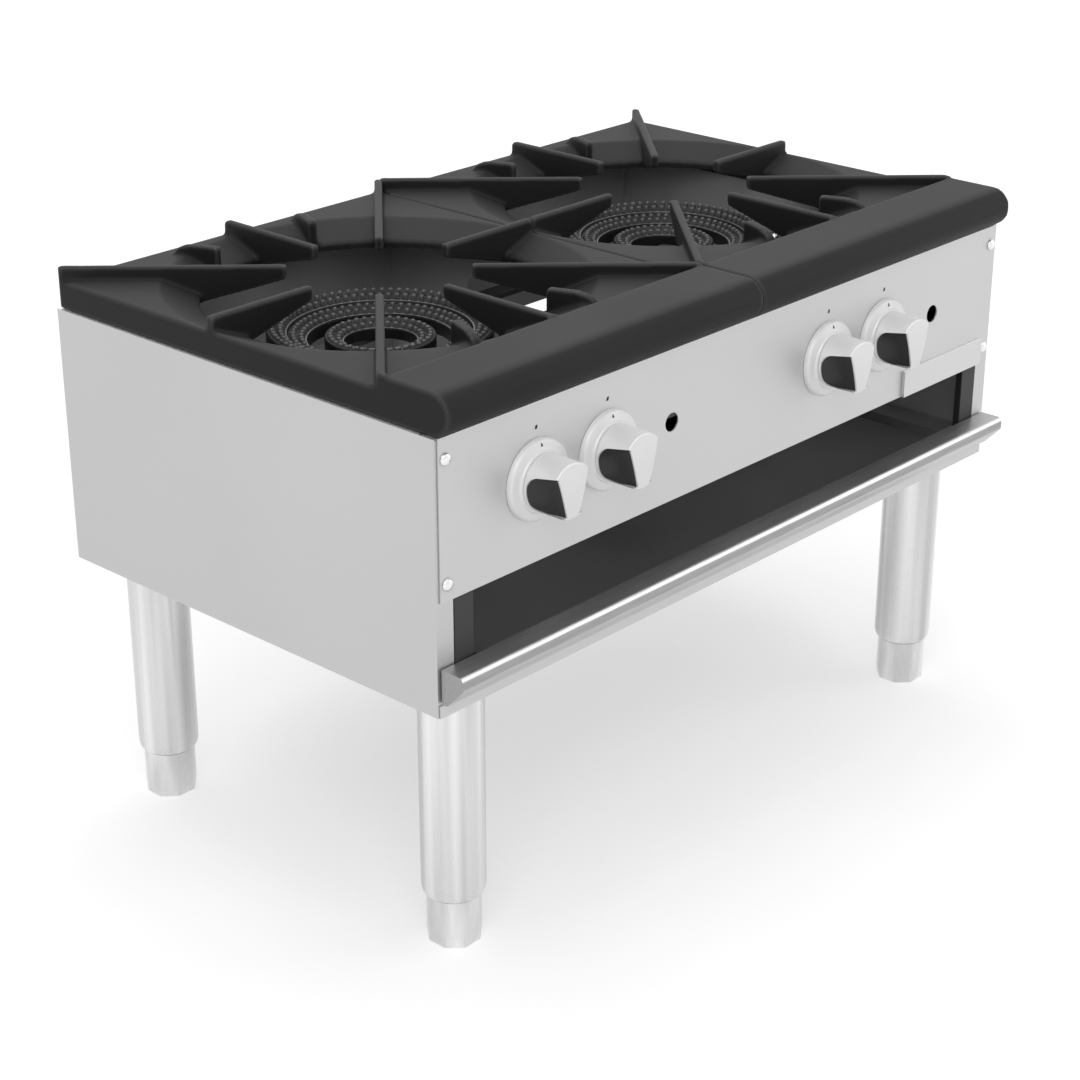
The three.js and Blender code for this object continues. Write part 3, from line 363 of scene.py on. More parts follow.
def linked(name, data):
    """A new object in the scene with the data given."""
    made = bpy.data.objects.new(name, data)
    bpy.context.scene.collection.objects.link(made)
    return made


def object_of(name, mesh, merge):
    """The mesh as an object, with points closer than merge joined and its faces turned outwards."""
    bmesh.ops.remove_doubles(mesh, verts=mesh.verts, dist=merge)
    bmesh.ops.recalc_face_normals(mesh, faces=mesh.faces)
    data = bpy.data.meshes.new(name)
    mesh.to_mesh(data)
    mesh.free()
    return linked(name, data)


def finish_mesh(name, mesh, body, material, angle=30.0):
    """An object of the mesh that rides on the body."""
    piece = object_of(name, mesh, 1e-7)
    piece.data.materials.append(material)
    smooth(piece, angle)
    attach(piece, body)
    return piece


def smooth(piece, angle):
    """Smooth shading, with edges sharper than the angle kept sharp."""
    piece.data.shade_smooth()
    piece.data.set_sharp_from_angle(angle=math.radians(angle))


def bevel(piece, width, segments=2, angle=30.0):
    """Rounds the edges sharper than the angle by width millimetres."""
    made = piece.modifiers.new("edges", "BEVEL")
    made.width = width * MM
    made.segments = segments
    made.limit_method = "ANGLE"
    made.angle_limit = math.radians(angle)
    made.harden_normals = False
    made.use_clamp_overlap = True


def lathe(mesh, profile, origin, axis, sides):
    """Turns a closed profile of (radius, height) in millimetres about the axis through origin."""
    rings = []
    for i in range(sides):
        turn = 2 * math.pi * i / sides
        ring = []
        for radius, height in profile:
            across, over = radius * math.cos(turn), radius * math.sin(turn)
            offset = Vector((across, over, height) if axis == "Z" else (across, height, over))
            ring.append(mesh.verts.new(origin + offset * MM))
        rings.append(ring)
    count = len(profile)
    for i in range(sides):
        here, there = rings[i], rings[(i + 1) % sides]
        for j in range(count):
            k = (j + 1) % count
            on_axis_j = profile[j][0] < TINY
            on_axis_k = profile[k][0] < TINY
            if on_axis_j and on_axis_k:
                continue
            if on_axis_j:
                mesh.faces.new((here[j], there[k], here[k]))
            elif on_axis_k:
                mesh.faces.new((here[j], there[j], here[k]))
            else:
                mesh.faces.new((here[j], there[j], there[k], here[k]))


def rounded(profile, radius, steps):
    """The closed profile with each corner rounded by its third number, or else by radius. A
    corner on the axis, or with no room, stays as it is."""
    made = []
    count = len(profile)
    for i, corner in enumerate(profile):
        here = Vector(corner[:2])
        r = corner[2] if len(corner) > 2 else radius
        before = Vector(profile[i - 1][:2]) - here
        after = Vector(profile[(i + 1) % count][:2]) - here
        r = min(r, before.length * ROOM, after.length * ROOM)
        if r < TINY or abs(here.x) < TINY:
            made.append((here.x, here.y))
            continue
        start = here + before.normalized() * r
        end = here + after.normalized() * r
        for k in range(steps + 1):
            t = k / steps
            point = start * (1 - t) ** 2 + here * 2 * t * (1 - t) + end * t ** 2
            made.append((point.x, point.y))
    return made


def loft(mesh, rings):
    """Joins each ring of points to the next and closes both ends."""
    count = len(rings[0])
    for here, there in zip(rings, rings[1:]):
        for j in range(count):
            k = (j + 1) % count
            mesh.faces.new((here[j], here[k], there[k], there[j]))
    mesh.faces.new(list(reversed(rings[0])))
    mesh.faces.new(rings[-1])


def prism(mesh, outline, place, depth):
    """Closed prism: the outline's points through place(a, b, 0) and place(a, b, depth)."""
    loft(mesh, [[mesh.verts.new(place(a, b, c)) for a, b in outline] for c in (0, depth)])


def swept(mesh, points, section):
    """Carries a closed section of (across, up) millimetres along the points."""
    rings = []
    for i, point in enumerate(points):
        before = points[max(i - 1, 0)]
        after = points[min(i + 1, len(points) - 1)]
        ahead = (after - before).normalized()
        across = ahead.cross(UP).normalized()
        over = across.cross(ahead).normalized()
        rings.append([mesh.verts.new(point + (across * a + over * b) * MM) for a, b in section])
    loft(mesh, rings)


def smooth_path(points, steps):
    """A curve through the points, as closer points."""
    made = []
    count = len(points)
    for i in range(count - 1):
        a, b = points[max(i - 1, 0)], points[i]
        c, d = points[i + 1], points[min(i + 2, count - 1)]
        for k in range(steps):
            t = k / steps
            made.append(0.5 * (2 * b + (c - a) * t + (2 * a - 5 * b + 4 * c - d) * t ** 2
                               + (3 * b - a - 3 * c + d) * t ** 3))
    made.append(points[-1])
    return made


def circle(radius, sides=24):
    """Points round the middle."""
    turns = [2 * math.pi * k / sides for k in range(sides)]
    return [(radius * math.cos(turn), radius * math.sin(turn)) for turn in turns]


def scratch(build):
    """A throwaway object with the mesh that build fills, in millimetres."""
    mesh = bmesh.new()
    build(mesh)
    return object_of("scratch", mesh, 1e-5)


def combined(first, second, operation):
    """first with second cut away (DIFFERENCE) or kept in common (INTERSECT). Both throwaway
    objects are used up."""
    made = first.modifiers.new("cut", "BOOLEAN")
    made.operation = operation
    made.object = second
    made.solver = "EXACT"
    graph = bpy.context.evaluated_depsgraph_get()
    data = bpy.data.meshes.new_from_object(first.evaluated_get(graph))
    bpy.data.objects.remove(first)
    bpy.data.objects.remove(second)
    return linked("scratch", data)


def taken(piece):
    """The throwaway object's mesh, without the object."""
    data = piece.data
    bpy.data.objects.remove(piece)
    return data


def even_shading(piece):
    """Shades flats evenly beside rounded edges."""
    piece.modifiers.new("shading", "WEIGHTED_NORMAL").keep_sharp = True


def paint(data, material):
    """Gives the mesh this one material."""
    data.materials.clear()
    data.materials.append(material)


def dress(node, material, edge=0.0, segments=2):
    """Gives a carried-over CAD node its material, even shading and softened edges."""
    piece = nodes[node]
    paint(piece.data, material)
    if edge:
        bevel(piece, edge, segments)
    even_shading(piece)


# ---------------------------------------------------------------- sheet metal

for side in SIDES:
    dress(f"side_panel_{side}", stainless_y, edge=0.72, segments=3)
    dress(f"leg_channel_{side}", base_steel, edge=0.4)
    dress(f"front_post_{side}", post_steel, edge=0.3)
    dress(f"heat_shield_{side}", shield_steel, edge=0.3)
for node in ("control_panel", "back_panel", "front_rail"):
    dress(node, stainless_x, edge=0.4)
for node in ("heat_shield_front", "heat_shield_back", "bay_divider"):
    dress(node, shield_steel)
for node in ("burner_bar_front", "burner_bar_back"):
    dress(node, post_steel, edge=0.5)
dress("gas_manifold", black_pipe)
for i in KNOBS:
    dress(f"gas_valve_{i}", brass, edge=0.4)
    dress(f"air_shutter_{i}", base_steel, edge=0.2)
dress("drip_tray", tray_steel, edge=0.4)
dress("nameplate", plate_steel, edge=0.8, segments=3)

# ---------------------------------------------------------------- top grates

GRATE_VOXEL = 2.2
SOFTENING_PASSES = 3

for side in SIDES:
    grate = nodes[f"top_grate_{side}"]
    paint(grate.data, grate_iron)
    remesh = grate.modifiers.new("skin", "REMESH")
    remesh.mode = "VOXEL"
    remesh.voxel_size = GRATE_VOXEL * MM
    remesh.use_smooth_shade = True
    soften = grate.modifiers.new("soften", "SMOOTH")
    soften.factor = 0.5
    soften.iterations = SOFTENING_PASSES

# ---------------------------------------------------------------- legs and feet

LEG_SIDES = 96
PLATE_HALF = 40         # half of the square plate at a leg's top
PLATE_THICK = 3
FOOT_SIDES = 96
FOOT_RINGS = (0, 0.6, 1.6, 4, 7, 10, 13, 16, 19, 22, 25, 28, 40, 70, 94)
FOOT_RADIUS = 28.0
FOOT_FLATS = math.pi / 4        # from one of the eight flats to the next
FLAT_REACH = 25.6       # from the axis to a flat at the floor
FLAT_LEAN = 0.16        # of reach gained for each millimetre up
FOOT_CHAMFER = 1.6      # its height at the foot's lower edge
CHAMFER_SLOPE = 0.9


def leg_profile(low, top):
    """The leg's tube, as (radius, height), drawn in at its lower end."""
    return [(28.4, low + 2.2, 0.2), (28.9, low + 0.2, 0.5), (30.2, low + 0.4, 1.0),
            (32.4, low + 4.5, 2.4), (33, low + 10, 3.0), (33, top - 1, 0.3),
            (31.5, top - 1, 0.2), (31.5, low + 10, 0.5)]


def foot_ring(mesh, axis, floor, height):
    """The foot's outline at a height: eight flats that the round takes over further up."""
    chamfer = max(0.0, FOOT_CHAMFER - height) * CHAMFER_SLOPE
    ring = []
    for k in range(FOOT_SIDES):
        turn = 2 * math.pi * k / FOOT_SIDES
        wedge = (turn + FOOT_FLATS / 2) % FOOT_FLATS - FOOT_FLATS / 2
        flat = (FLAT_REACH + height * FLAT_LEAN) / math.cos(wedge)
        r = min(FOOT_RADIUS, flat) - chamfer
        ring.append(mesh.verts.new(Vector((
            axis.x + r * MM * math.cos(turn), axis.y + r * MM * math.sin(turn),
            floor + height * MM))))
    return ring


for leg in LEGS:
    lo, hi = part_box(f"leg_{leg}")
    axis = Vector(((lo.x + hi.x) / 2, (lo.y + hi.y) / 2, 0))
    top = (hi.z - BASE) / MM
    low = (lo.z - BASE) / MM
    middle = Vector((axis.x, axis.y, BASE))
    mesh = bmesh.new()
    lathe(mesh, rounded(leg_profile(low, top), 0.5, 6), middle, "Z", LEG_SIDES)
    tube = finish_mesh(f"leg_tube_{leg}", mesh, "cabinet", leg_steel, 40)
    mesh = bmesh.new()
    square = [(-PLATE_HALF, -PLATE_HALF), (PLATE_HALF, -PLATE_HALF),
              (PLATE_HALF, PLATE_HALF), (-PLATE_HALF, PLATE_HALF)]
    plate_foot = axis + Vector((0, 0, BASE + (top - PLATE_THICK) * MM))
    prism(mesh, rounded(square, 6, 5),
          lambda a, b, c: plate_foot + Vector((a, b, c)) * MM, PLATE_THICK)
    plate = finish_mesh(f"leg_plate_{leg}", mesh, "cabinet", base_steel)
    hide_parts(f"leg_{leg}")
    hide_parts(f"leg_{leg}")
    # A black ring at the tube's lower end: painted shadow of the gap between the tube and the foot.
    mesh = bmesh.new()
    shadow_ring = [(28.05, low - 0.7), (29.0, low - 0.5), (29.0, low + 0.9), (28.05, low + 0.9)]
    lathe(mesh, shadow_ring, middle, "Z", LEG_SIDES)
    finish_mesh(f"leg_shadow_ring_{leg}", mesh, "cabinet", mark_black, 40)

    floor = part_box(f"foot_{leg}")[0].z
    mesh = bmesh.new()
    loft(mesh, [foot_ring(mesh, axis, floor, height) for height in FOOT_RINGS])
    foot = finish_mesh(f"foot_sleeve_{leg}", mesh, f"foot_{leg}_body", foot_steel,
                       12)
    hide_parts(f"foot_{leg}")

# ---------------------------------------------------------------- tray handle

LIP_CAP = 1.6           # thickness of the handle's two ends

lo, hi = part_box("tray_handle")
half = (hi.x - lo.x) / 2 / MM
outer = rounded([(-0.3, 51, 0.2), (-28, 51, 6.0), (-28, 37, 2.2), (-7, 15, 2.5),
                 (-0.3, 15, 0.2)], 1, 8)
inner = rounded([(-0.3, 49.5, 0.2), (-26.5, 49.5, 4.6), (-26.5, 37.6, 1.0), (-6.4, 16.5, 1.5),
                 (-0.3, 16.5, 0.2)], 1, 8)
mesh = bmesh.new()
for start in (-half, half - LIP_CAP):
    prism(mesh, outer, lambda y, z, depth: at(start + depth, y, z), LIP_CAP)
(a_out, a_in), (b_out, b_in) = ends = [
    [[mesh.verts.new(at(x, y, z)) for y, z in line] for line in (outer, inner)]
    for x in (-half + LIP_CAP, half - LIP_CAP)]
last = len(outer) - 1
for j in range(last):
    mesh.faces.new((a_out[j], a_out[j + 1], b_out[j + 1], b_out[j]))
    mesh.faces.new((a_in[j], b_in[j], b_in[j + 1], a_in[j + 1]))
for j in (0, last):
    mesh.faces.new((a_out[j], b_out[j], b_in[j], a_in[j]))
for out_line, in_line in ends:
    for j in range(last):
        mesh.faces.new((out_line[j], out_line[j + 1], in_line[j + 1], in_line[j]))
handle = finish_mesh("tray_lip", mesh, "tray", lip_steel, 28)
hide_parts("tray_handle")

# ---------------------------------------------------------------- burners

BURNER_SIDES = 144
STUD_SIDES = 6
STUD_RADIUS = 3.3
STUD_PITCH = 9.2


def studs(mesh, origin, radius, height, tall, shift):
    """A row of the burner's cast studs round a ring, each a small tapered peg with a rounded
    top, a little unlike its neighbours."""
    count = round(2 * math.pi * radius / STUD_PITCH)
    for i in range(count):
        turn = 2 * math.pi * (i + shift) / count
        lean = random.uniform(-0.3, 0.3)
        size = STUD_RADIUS * random.uniform(0.86, 1.08)
        foot = Vector((radius * math.cos(turn), radius * math.sin(turn), height))
        place = Matrix.Translation(origin + foot * MM) @ Matrix.Rotation(turn + lean, 4, "Z")
        loft(mesh, [[mesh.verts.new(place @ (Vector((x, y, up)) * MM))
                     for x, y in circle(size * share, STUD_SIDES)]
                    for share, up in ((1.0, -1.2), (0.9, tall * 0.55), (0.72, tall * 0.86),
                                      (0.34, tall))])


BURNER_Y = 306.5
SEAT = 232              # height of the burners' undersides

# Each burner's section as (radius, height, rounding), its rows of studs as (radius, height,
# how tall, shift along the row) and its thin rims as (radius, height).
RINGS = {
    "outer": dict(
        profile=[
            (76, 0), (76, 13.5, 1.2), (78.4, 15.4, 0.8), (95.4, 19.6, 0.4), (96.4, 22.6, 0.5),
            (98.6, 22.6, 0.6), (116, 29.4, 1.4), (118, 27.4, 1.2), (118, 3, 1.5), (115, 0, 1)],
        rows=[(81.6, 16.0, 4.4, 0.0), (90.2, 18.4, 4.4, 0.5), (103.0, 24.2, 5.2, 0.0),
              (111.8, 27.6, 4.6, 0.5)],
        rims=[(97.4, 22.9), (77.0, 14.7)]),
    "inner": dict(
        profile=[
            (38, 0), (38, 10.5, 1), (39.6, 12.4, 0.6), (57, 18.2, 0.8), (58, 16.6, 0.8),
            (58, 3, 1), (55.5, 0, 0.8)],
        rows=[(43.2, 13.4, 4.2, 0.0), (52.0, 16.4, 4.2, 0.5)],
        rims=[(38.8, 11.9)]),
}
RIM = 0.8               # half the width of the thin rims
TUBE_START = 84         # inside the bell
TUBE_RADIUS = 10
OUTER_FEED_TURN = -0.93         # where the outer burner's tube comes up, round its middle
OUTER_FEED_REACH = 96
OUTER_TUBE_BEND = 115   # how far back the tube runs straight
OUTER_MOUTH = 5.5       # from the bay's middle to the two tubes' mouths
INNER_MOUTH = -95.5


def burner(side, kind, data, origin):
    """A cast ring with its rows of studs and its thin rims."""
    mesh = bmesh.new()
    lathe(mesh, rounded(data["profile"], 0.5, 3), origin, "Z", BURNER_SIDES)
    ring = finish_mesh(f"{kind}_ring_{side}", mesh, "cabinet", burner_iron, 35)
    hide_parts(f"{kind}_burner_{side}")
    mesh = bmesh.new()
    for row in data["rows"]:
        studs(mesh, origin, *row)
    finish_mesh(f"{kind}_studs_{side}", mesh, "cabinet", stud_iron, 40)
    mesh = bmesh.new()
    for radius, height in data["rims"]:
        inside, outside = radius - RIM, radius + RIM
        lathe(mesh, rounded([(inside, height - 0.8), (inside, height + 0.5),
                             (outside, height + 0.5), (outside, height - 0.8)], 0.3, 2),
              origin, "Z", BURNER_SIDES)
    finish_mesh(f"{kind}_rims_{side}", mesh, "cabinet", rim_steel, 35)


def mixing_tube(name, mouth, points):
    """The open bell behind the air shutter and the tube that runs from it through the points."""
    bell = [(11, 88), (13, 84.5, 2), (19.4, 76, 2), (20, 72.2, 0.6), (18.4, 72.2, 0.5),
            (17, 75.4, 2), (10.4, 84, 2), (8.6, 96), (8.6, 102), (10, 102)]
    mesh = bmesh.new()
    lathe(mesh, rounded(bell, 0.5, 4), at(mouth, 0, GAS_HEIGHT), "Y", 40)
    route = [at(mouth, TUBE_START, GAS_HEIGHT), *(at(*point) for point in points)]
    swept(mesh, smooth_path(route, 7), circle(TUBE_RADIUS))
    finish_mesh(name, mesh, "cabinet", burner_iron, 40)


for side in SIDES:
    mid_x = BAY_MIDDLE[side]
    for kind, data in RINGS.items():
        burner(side, kind, data, at(mid_x, BURNER_Y, SEAT))

    mouth = mid_x + OUTER_MOUTH
    run_x = mid_x + OUTER_FEED_REACH * math.cos(OUTER_FEED_TURN) - mouth
    run_y = BURNER_Y + OUTER_FEED_REACH * math.sin(OUTER_FEED_TURN) - OUTER_TUBE_BEND
    mixing_tube(f"outer_tube_{side}", mouth, [
        (mouth + along * run_x, OUTER_TUBE_BEND + back * run_y, height)
        for along, back, height in (
            (0, 0, GAS_HEIGHT), (0.41, 0.48, GAS_HEIGHT), (0.87, 0.83, GAS_HEIGHT),
            (1, 0.97, 216), (1, 1, 240))])
    mouth = mid_x + INNER_MOUTH
    mixing_tube(f"inner_tube_{side}", mouth, [
        (mouth, 140, GAS_HEIGHT), (mid_x - 76, 215, GAS_HEIGHT), (mid_x - 55, 268, GAS_HEIGHT),
        (mid_x - 48, 292, 213), (mid_x - 48, 298, 236)])

# ---------------------------------------------------------------- pilots

PILOT_HOLE = 103.5      # from the bay's middle to the view hole in the control panel
PILOT_TURN = -0.876     # where the pilot's head stands, round the burner's middle
PILOT_REACH = 128
PILOT_TOP = 258


def between(low, high, shares):
    """The point that lies these shares of the way from low to high, in x, y and z."""
    return at(*(a + share * (b - a) for a, b, share in zip(low, high, shares)))


for side in SIDES:
    mid_x = BAY_MIDDLE[side]
    hole_x = mid_x + PILOT_HOLE
    tip_x = mid_x + PILOT_REACH * math.cos(PILOT_TURN)
    tip_y = BURNER_Y + PILOT_REACH * math.sin(PILOT_TURN)
    mesh = bmesh.new()
    post = [(0, 176), (7, 176), (7, 209.4, 1.0), (5.2, 210), (0, 210)]
    lathe(mesh, rounded(post, 0.5, 3), at(hole_x, 45, 0), "Z", 24)
    nose = [(0, 30), (4, 30, 0.6), (4, 44), (0, 44)]
    lathe(mesh, rounded(nose, 0.5, 3), at(hole_x, 0, GAS_HEIGHT), "Y", 20)
    tap = finish_mesh(f"pilot_tap_{side}", mesh, "cabinet", brass, 35)
    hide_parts(f"pilot_{side}")
    mesh = bmesh.new()
    low, high = Vector((hole_x, 95.0, GAS_HEIGHT)), Vector((tip_x, tip_y, PILOT_TOP))
    turns = ((0, 0, 0), (0, 0.3, 0.05), (0.7, 0.85, 0.35), (1, 1, 0.7), (1, 1, 0.85))
    route = [at(hole_x, 48, GAS_HEIGHT), *(between(low, high, shares) for shares in turns)]
    swept(mesh, smooth_path(route, 8), circle(2.6, 14))
    finish_mesh(f"pilot_tube_{side}", mesh, "cabinet", tip_steel, 40)
    mesh = bmesh.new()
    head = [(0, 246), (3.6, 246, 0.5), (5.4, 248, 0.6), (5.4, 254.4, 0.5), (4.2, 257.4, 1.2),
            (2.2, PILOT_TOP, 0.4), (0, 256.6)]
    lathe(mesh, rounded(head, 0.4, 4), at(tip_x, tip_y, 0), "Z", 28)
    finish_mesh(f"pilot_head_{side}", mesh, "cabinet", tip_steel, 35)

# ---------------------------------------------------------------- knobs

# In millimetres from the knob's axis, with y from the control panel's face, out to the front
# at -y.
KNOB_SIDES = 128
KNOB_RADIUS = 28.5
KNOB_BACK = -10.3
KNOB_FACE = -48.3
FACE_BULGE = 1.9
RECESS_BACK = -13.4
RECESS_TOP = 18.5
RECESS_LOW = -24.5
INSERT_FACE = -46.2
KNOB_EDGE_ANGLE = 32
SHELL_SINK = 0.7        # how much deeper than the insert's side the shell is cut
FAR_OUT = 60            # beyond the knob, for cutting blocks
RECESS_ZS = (RECESS_LOW - 8, RECESS_TOP + 6, 30)


def recess_wall(y, z):
    """How far from the knob's middle plane the side recess lies: a tapering bar that swells to
    the knob's side at the back."""
    up = max(0.0, (z - RECESS_LOW) / (RECESS_TOP - RECESS_LOW))
    bar = 8.2 + 12.8 * up ** 0.9
    side = math.sqrt(max(0.0, KNOB_RADIUS ** 2 - z ** 2)) - 0.6
    back = max(0.0, min(1.0, (y - KNOB_FACE) / (RECESS_BACK - KNOB_FACE)))
    swell = back ** 2.4
    return bar * (1 - swell) + max(bar, side) * swell


def spaced(start, end, count):
    """Count even steps from start to end."""
    return [start + (end - start) * k / count for k in range(count + 1)]


def block_between(near, far, ys, zs):
    """A closed throwaway block between two walls x = near(y, z) and x = far(y, z)."""
    def build(mesh):
        grids = [[[mesh.verts.new((wall(y, z), y, z)) for z in zs] for y in ys]
                 for wall in (near, far)]
        last_y, last_z = len(ys) - 1, len(zs) - 1
        for grid, flip in zip(grids, (False, True)):
            for i in range(last_y):
                for j in range(last_z):
                    face = [grid[i][j], grid[i + 1][j], grid[i + 1][j + 1], grid[i][j + 1]]
                    mesh.faces.new(list(reversed(face)) if flip else face)
        a, b = grids
        for i in range(last_y):
            for j in (0, last_z):
                mesh.faces.new((a[i][j], a[i + 1][j], b[i + 1][j], b[i][j]))
        for j in range(last_z):
            for i in (0, last_y):
                mesh.faces.new((a[i][j], a[i][j + 1], b[i][j + 1], b[i][j]))
    return scratch(build)


def recess_prism(grow, x0, x1):
    """The recess's outline seen from the side, square at the face and round-cornered towards
    the bezel, as a block from x0 to x1."""
    back, top, low = RECESS_BACK + grow, RECESS_TOP + grow, RECESS_LOW - grow
    outline = rounded([(-70, low + 2.5), (back, low - 2.5, 13), (back, top - 6, 11),
                       (-70, top + 3)], 0, 8)
    return scratch(lambda mesh: prism(
        mesh, outline, lambda a, b, c: Vector((x0 + c, a, b)), x1 - x0))


def knob_round(radius, front, back):
    """The knob's round body: a soft edge round a face that bulges a little."""
    bulge = [(radius * share, front + FACE_BULGE * share ** 2, 0)
             for share in (0.88, 0.75, 0.6, 0.45, 0.3, 0.15)]
    profile = [(0, back), (radius, back, 0.8), (radius - 0.4, front + FACE_BULGE, 1.8), *bulge,
               (0, front)]

    def build(mesh):
        lathe(mesh, rounded(profile, 0.4, 6), Vector((0, 0, 0)), "Y", KNOB_SIDES)
        bmesh.ops.scale(mesh, vec=(1 / MM,) * 3, verts=mesh.verts)
    return scratch(build)


def knob_shell_mesh():
    """The silver shell: the round body with a recess cut into each side."""
    body = knob_round(KNOB_RADIUS, KNOB_FACE, KNOB_BACK)
    for sign in (-1, 1):
        block = block_between(
            lambda y, z: sign * (recess_wall(y, z) - SHELL_SINK), lambda y, z: sign * FAR_OUT,
            spaced(-66, RECESS_BACK + 3, 30), spaced(*RECESS_ZS))
        prism_side = recess_prism(0.0, *sorted((0, sign * (FAR_OUT - 2))))
        body = combined(body, combined(block, prism_side, "INTERSECT"), "DIFFERENCE")
    return taken(body)


def knob_insert_mesh():
    """The black insert that fills the recesses up to their walls."""
    block = block_between(lambda y, z: -recess_wall(y, z), recess_wall,
                          spaced(INSERT_FACE, RECESS_BACK + 1, 24), spaced(*RECESS_ZS))
    block = combined(block, recess_prism(-0.35, -40, 40), "INTERSECT")
    inside = knob_round(KNOB_RADIUS - 0.5, KNOB_FACE + 1.8, KNOB_BACK - 3)
    return taken(combined(block, inside, "INTERSECT"))


def placed(name, data, spot, material, body, edge):
    """A copy of a mesh made in millimetres, put at the spot and bevelled by edge."""
    copy = data.copy()
    copy.name = name
    copy.transform(Matrix.Translation(spot) @ Matrix.Scale(MM, 4))
    paint(copy, material)
    piece = linked(name, copy)
    smooth(piece, KNOB_EDGE_ANGLE)
    bevel(piece, edge, 3, KNOB_EDGE_ANGLE)
    even_shading(piece)
    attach(piece, body)
    return piece


BEZEL = [(7, -0.3), (41, -0.3, 0.2), (41, -4.4, 1.6), (39.0, -6.6, 1.6), (32.6, -8.0, 0.5),
         (31.2, -8.5, 0.5), (30.4, -10, 0.5), (7, -10)]
TICK_FOOT = 34.6        # from the knob's axis up to the tick on the bezel
TICK_FACE = -7.35       # where the bezel's cone is there
CONE_SLOPE = 0.21
TICK = [(-1.3, TICK_FOOT), (1.3, TICK_FOOT), (0.3, 38.0), (-0.3, 38.0)]
PANEL_MARK = [(-2.0, 253.2), (1.0, 252.8), (2.2, 256.6), (-0.6, 257.0)]

shell_mesh = knob_shell_mesh()
insert_mesh = knob_insert_mesh()
for i in KNOBS:
    middle = centre(f"knob_cap_{i}")
    x0 = middle.x / MM
    z0 = (middle.z - BASE) / MM
    spot = at(x0, 0, z0)
    mesh = bmesh.new()
    lathe(mesh, rounded(BEZEL, 0.4, 6), spot, "Y", KNOB_SIDES)
    bezel = finish_mesh(f"bezel_{i}", mesh, "cabinet", bezel_silver, 40)
    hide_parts(f"knob_bezel_{i}")
    shell = placed(f"knob_shell_{i}", shell_mesh, spot, silver, f"knob_{i}", 0.5)
    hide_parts(f"knob_cap_{i}")
    insert = placed(f"knob_insert_{i}", insert_mesh, spot, knob_black, f"knob_{i}",
                    0.4)
    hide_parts(f"knob_core_{i}")
    mesh = bmesh.new()
    prism(mesh, TICK, lambda a, b, c: at(
        x0 + a, TICK_FACE - c + (b - TICK_FOOT) * CONE_SLOPE, z0 + b), 0.5)
    finish_mesh(f"bezel_tick_{i}", mesh, "cabinet", mark_black)
    mesh = bmesh.new()
    prism(mesh, PANEL_MARK, lambda a, b, c: at(x0 + a, -0.02 - c, b), 0.12)
    finish_mesh(f"panel_mark_{i}", mesh, "cabinet", mark_black)

# ---------------------------------------------------------------- screws

HEAD_RADIUS = 6.5
DOME_HEIGHT = 3.9
DOME_FOOT = -0.35
DOME_STEPS = 10

turns = [k * math.pi / 2 / DOME_STEPS for k in range(DOME_STEPS)]
dome = [(HEAD_RADIUS * math.cos(t), DOME_FOOT - DOME_HEIGHT * math.sin(t)) for t in turns]
screw = [(0, -0.3), (6.4, -0.3), *dome, (0, DOME_FOOT - DOME_HEIGHT)]
for side in SIDES:
    for level in ("lower", "upper"):
        node = f"panel_screw_{side}_{level}"
        middle = centre(node)
        mesh = bmesh.new()
        lathe(mesh, screw, at(middle.x / MM, 0, (middle.z - BASE) / MM), "Y", 40)
        head = finish_mesh(f"screw_head_{side}_{level}", mesh, "cabinet", bright_screw,
                           50)
        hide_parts(node)

# ---------------------------------------------------------------- floor, light and camera

FLOOR_SIZE = 60         # metres
FLOOR_GAP = 0.0004      # under the feet
GLOW_NEAR = 0.5         # white added to what the camera and gloss see of the floor by the object
GLOW_FAR = 0.8          # and far from it, where less light falls
GLOW_REACH = (1.0, 4.5)         # from near to far, in metres
WORLD_LIGHT = 0.42      # strength as light on the object; what is seen of the world has 1


def seen_directly(tree, *rays):
    """1 for rays of the kinds named and 0 for others."""
    path = tree.nodes.new("ShaderNodeLightPath")
    seen = path.outputs[rays[0]]
    for ray in rays[1:]:
        either = tree.nodes.new("ShaderNodeMath")
        either.operation = "MAXIMUM"
        tree.links.new(seen, either.inputs[0])
        tree.links.new(path.outputs[ray], either.inputs[1])
        seen = either.outputs[0]
    return seen


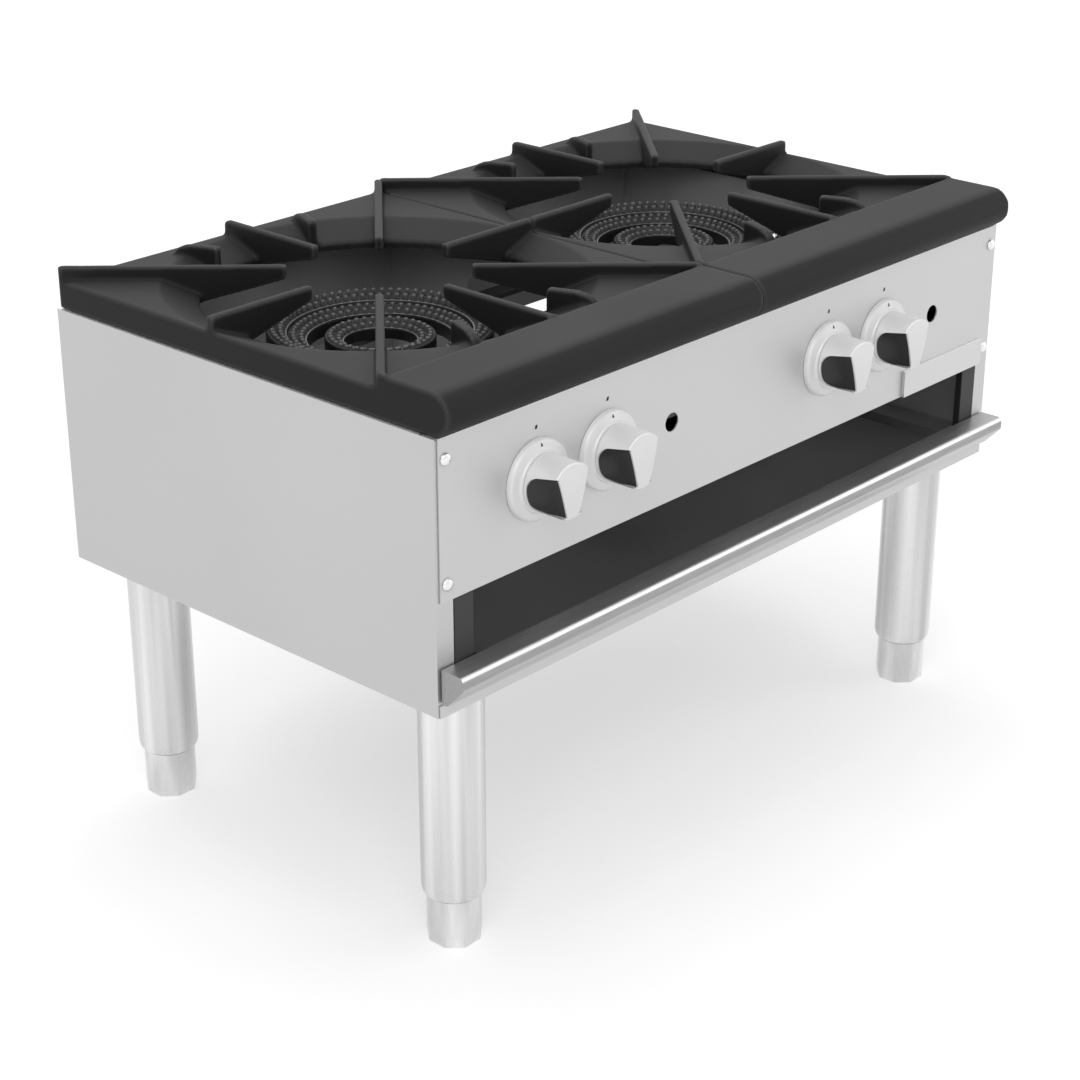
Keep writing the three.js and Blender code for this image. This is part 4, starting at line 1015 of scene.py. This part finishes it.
def stage_floor():
    """A pale floor that shows white round the object and keeps its shadow."""
    bpy.ops.mesh.primitive_plane_add(size=FLOOR_SIZE, location=(0, 0, cad_box[0].z - FLOOR_GAP))
    floor = bpy.context.object
    floor.name = "floor"
    graph = Graph("floor_pale", roughness=0.85, specular=0.1)
    speck = graph.noise(5.0, 2.0)
    graph.colour(graph.ramp(speck, [(0.3, 0.69), (0.7, 0.71)]))
    coords = graph.node("ShaderNodeTexCoord")
    far = graph.node("ShaderNodeVectorMath", operation="LENGTH")
    graph.link(coords.outputs["Object"], far.inputs[0])
    glow = graph.node("ShaderNodeMath", operation="MULTIPLY")
    graph.link(seen_directly(graph.tree, "Is Camera Ray", "Is Glossy Ray"), glow.inputs[0])
    graph.link(graph.remap(far.outputs["Value"], GLOW_NEAR, GLOW_FAR, *GLOW_REACH),
               glow.inputs[1])
    light = graph.node("ShaderNodeEmission")
    graph.link(glow.outputs[0], light.inputs["Strength"])
    add = graph.node("ShaderNodeAddShader")
    graph.link(graph.shader.outputs[0], add.inputs[0])
    graph.link(light.outputs[0], add.inputs[1])
    graph.link(add.outputs[0], graph.tree.nodes["Material Output"].inputs["Surface"])
    floor.data.materials.append(graph.material)


def studio_world():
    """White to the camera, in gloss and in transmission, and a dimmer light on the object."""
    world = bpy.data.worlds.new("studio")
    bpy.context.scene.world = world
    world.use_nodes = True
    tree = world.node_tree
    back = tree.nodes["Background"]
    level = tree.nodes.new("ShaderNodeMapRange")
    level.inputs["To Min"].default_value = WORLD_LIGHT
    level.inputs["To Max"].default_value = 1.0
    seen = seen_directly(tree, "Is Camera Ray", "Is Glossy Ray", "Is Transmission Ray")
    tree.links.new(seen, level.inputs["Value"])
    tree.links.new(level.outputs["Result"], back.inputs["Strength"])
    back.inputs["Color"].default_value = (1, 1, 1, 1)


def area_light(name, location, target, size, power):
    """A square lamp aimed at the target."""
    data = bpy.data.lights.new(name, "AREA")
    data.shape = "RECTANGLE"
    data.size = size
    data.size_y = size
    data.energy = power
    lamp = linked(name, data)
    lamp.location = location
    aim = Vector(target) - Vector(location)
    lamp.rotation_euler = aim.to_track_quat("-Z", "Y").to_euler()


stage_floor()
studio_world()
area_light("key", (-2.6, -2.2, 3.2), (0, 0, 0.4), 2.4, 45)
area_light("top", (0.2, 0.5, 3.6), (0, 0, 0.5), 2.6, 42)
area_light("fill", (2.8, -2.4, 1.6), (0, 0, 0.4), 2.0, 14)

# The camera was fitted to the cabinet's corners in the photograph.
CAMERA_PLACE = (-1.8352, FRONT - 1.3902, BASE + 1.0536)
PHOTO_WIDTH = 1080
FOCAL_PIXELS = 2374.0
HEADING = math.radians(42.51)
TILT = math.radians(23.98)

camera_data = bpy.data.cameras.new("camera")
camera_data.sensor_width = 36
camera_data.lens = FOCAL_PIXELS / PHOTO_WIDTH * camera_data.sensor_width
camera = linked("camera", camera_data)
camera.location = CAMERA_PLACE
forward = Vector((math.cos(HEADING) * math.cos(TILT), math.sin(HEADING) * math.cos(TILT),
                  -math.sin(TILT)))
camera.rotation_euler = forward.to_track_quat("-Z", "Y").to_euler()
bpy.context.scene.camera = camera
bpy.context.scene.view_settings.view_transform = "Standard"
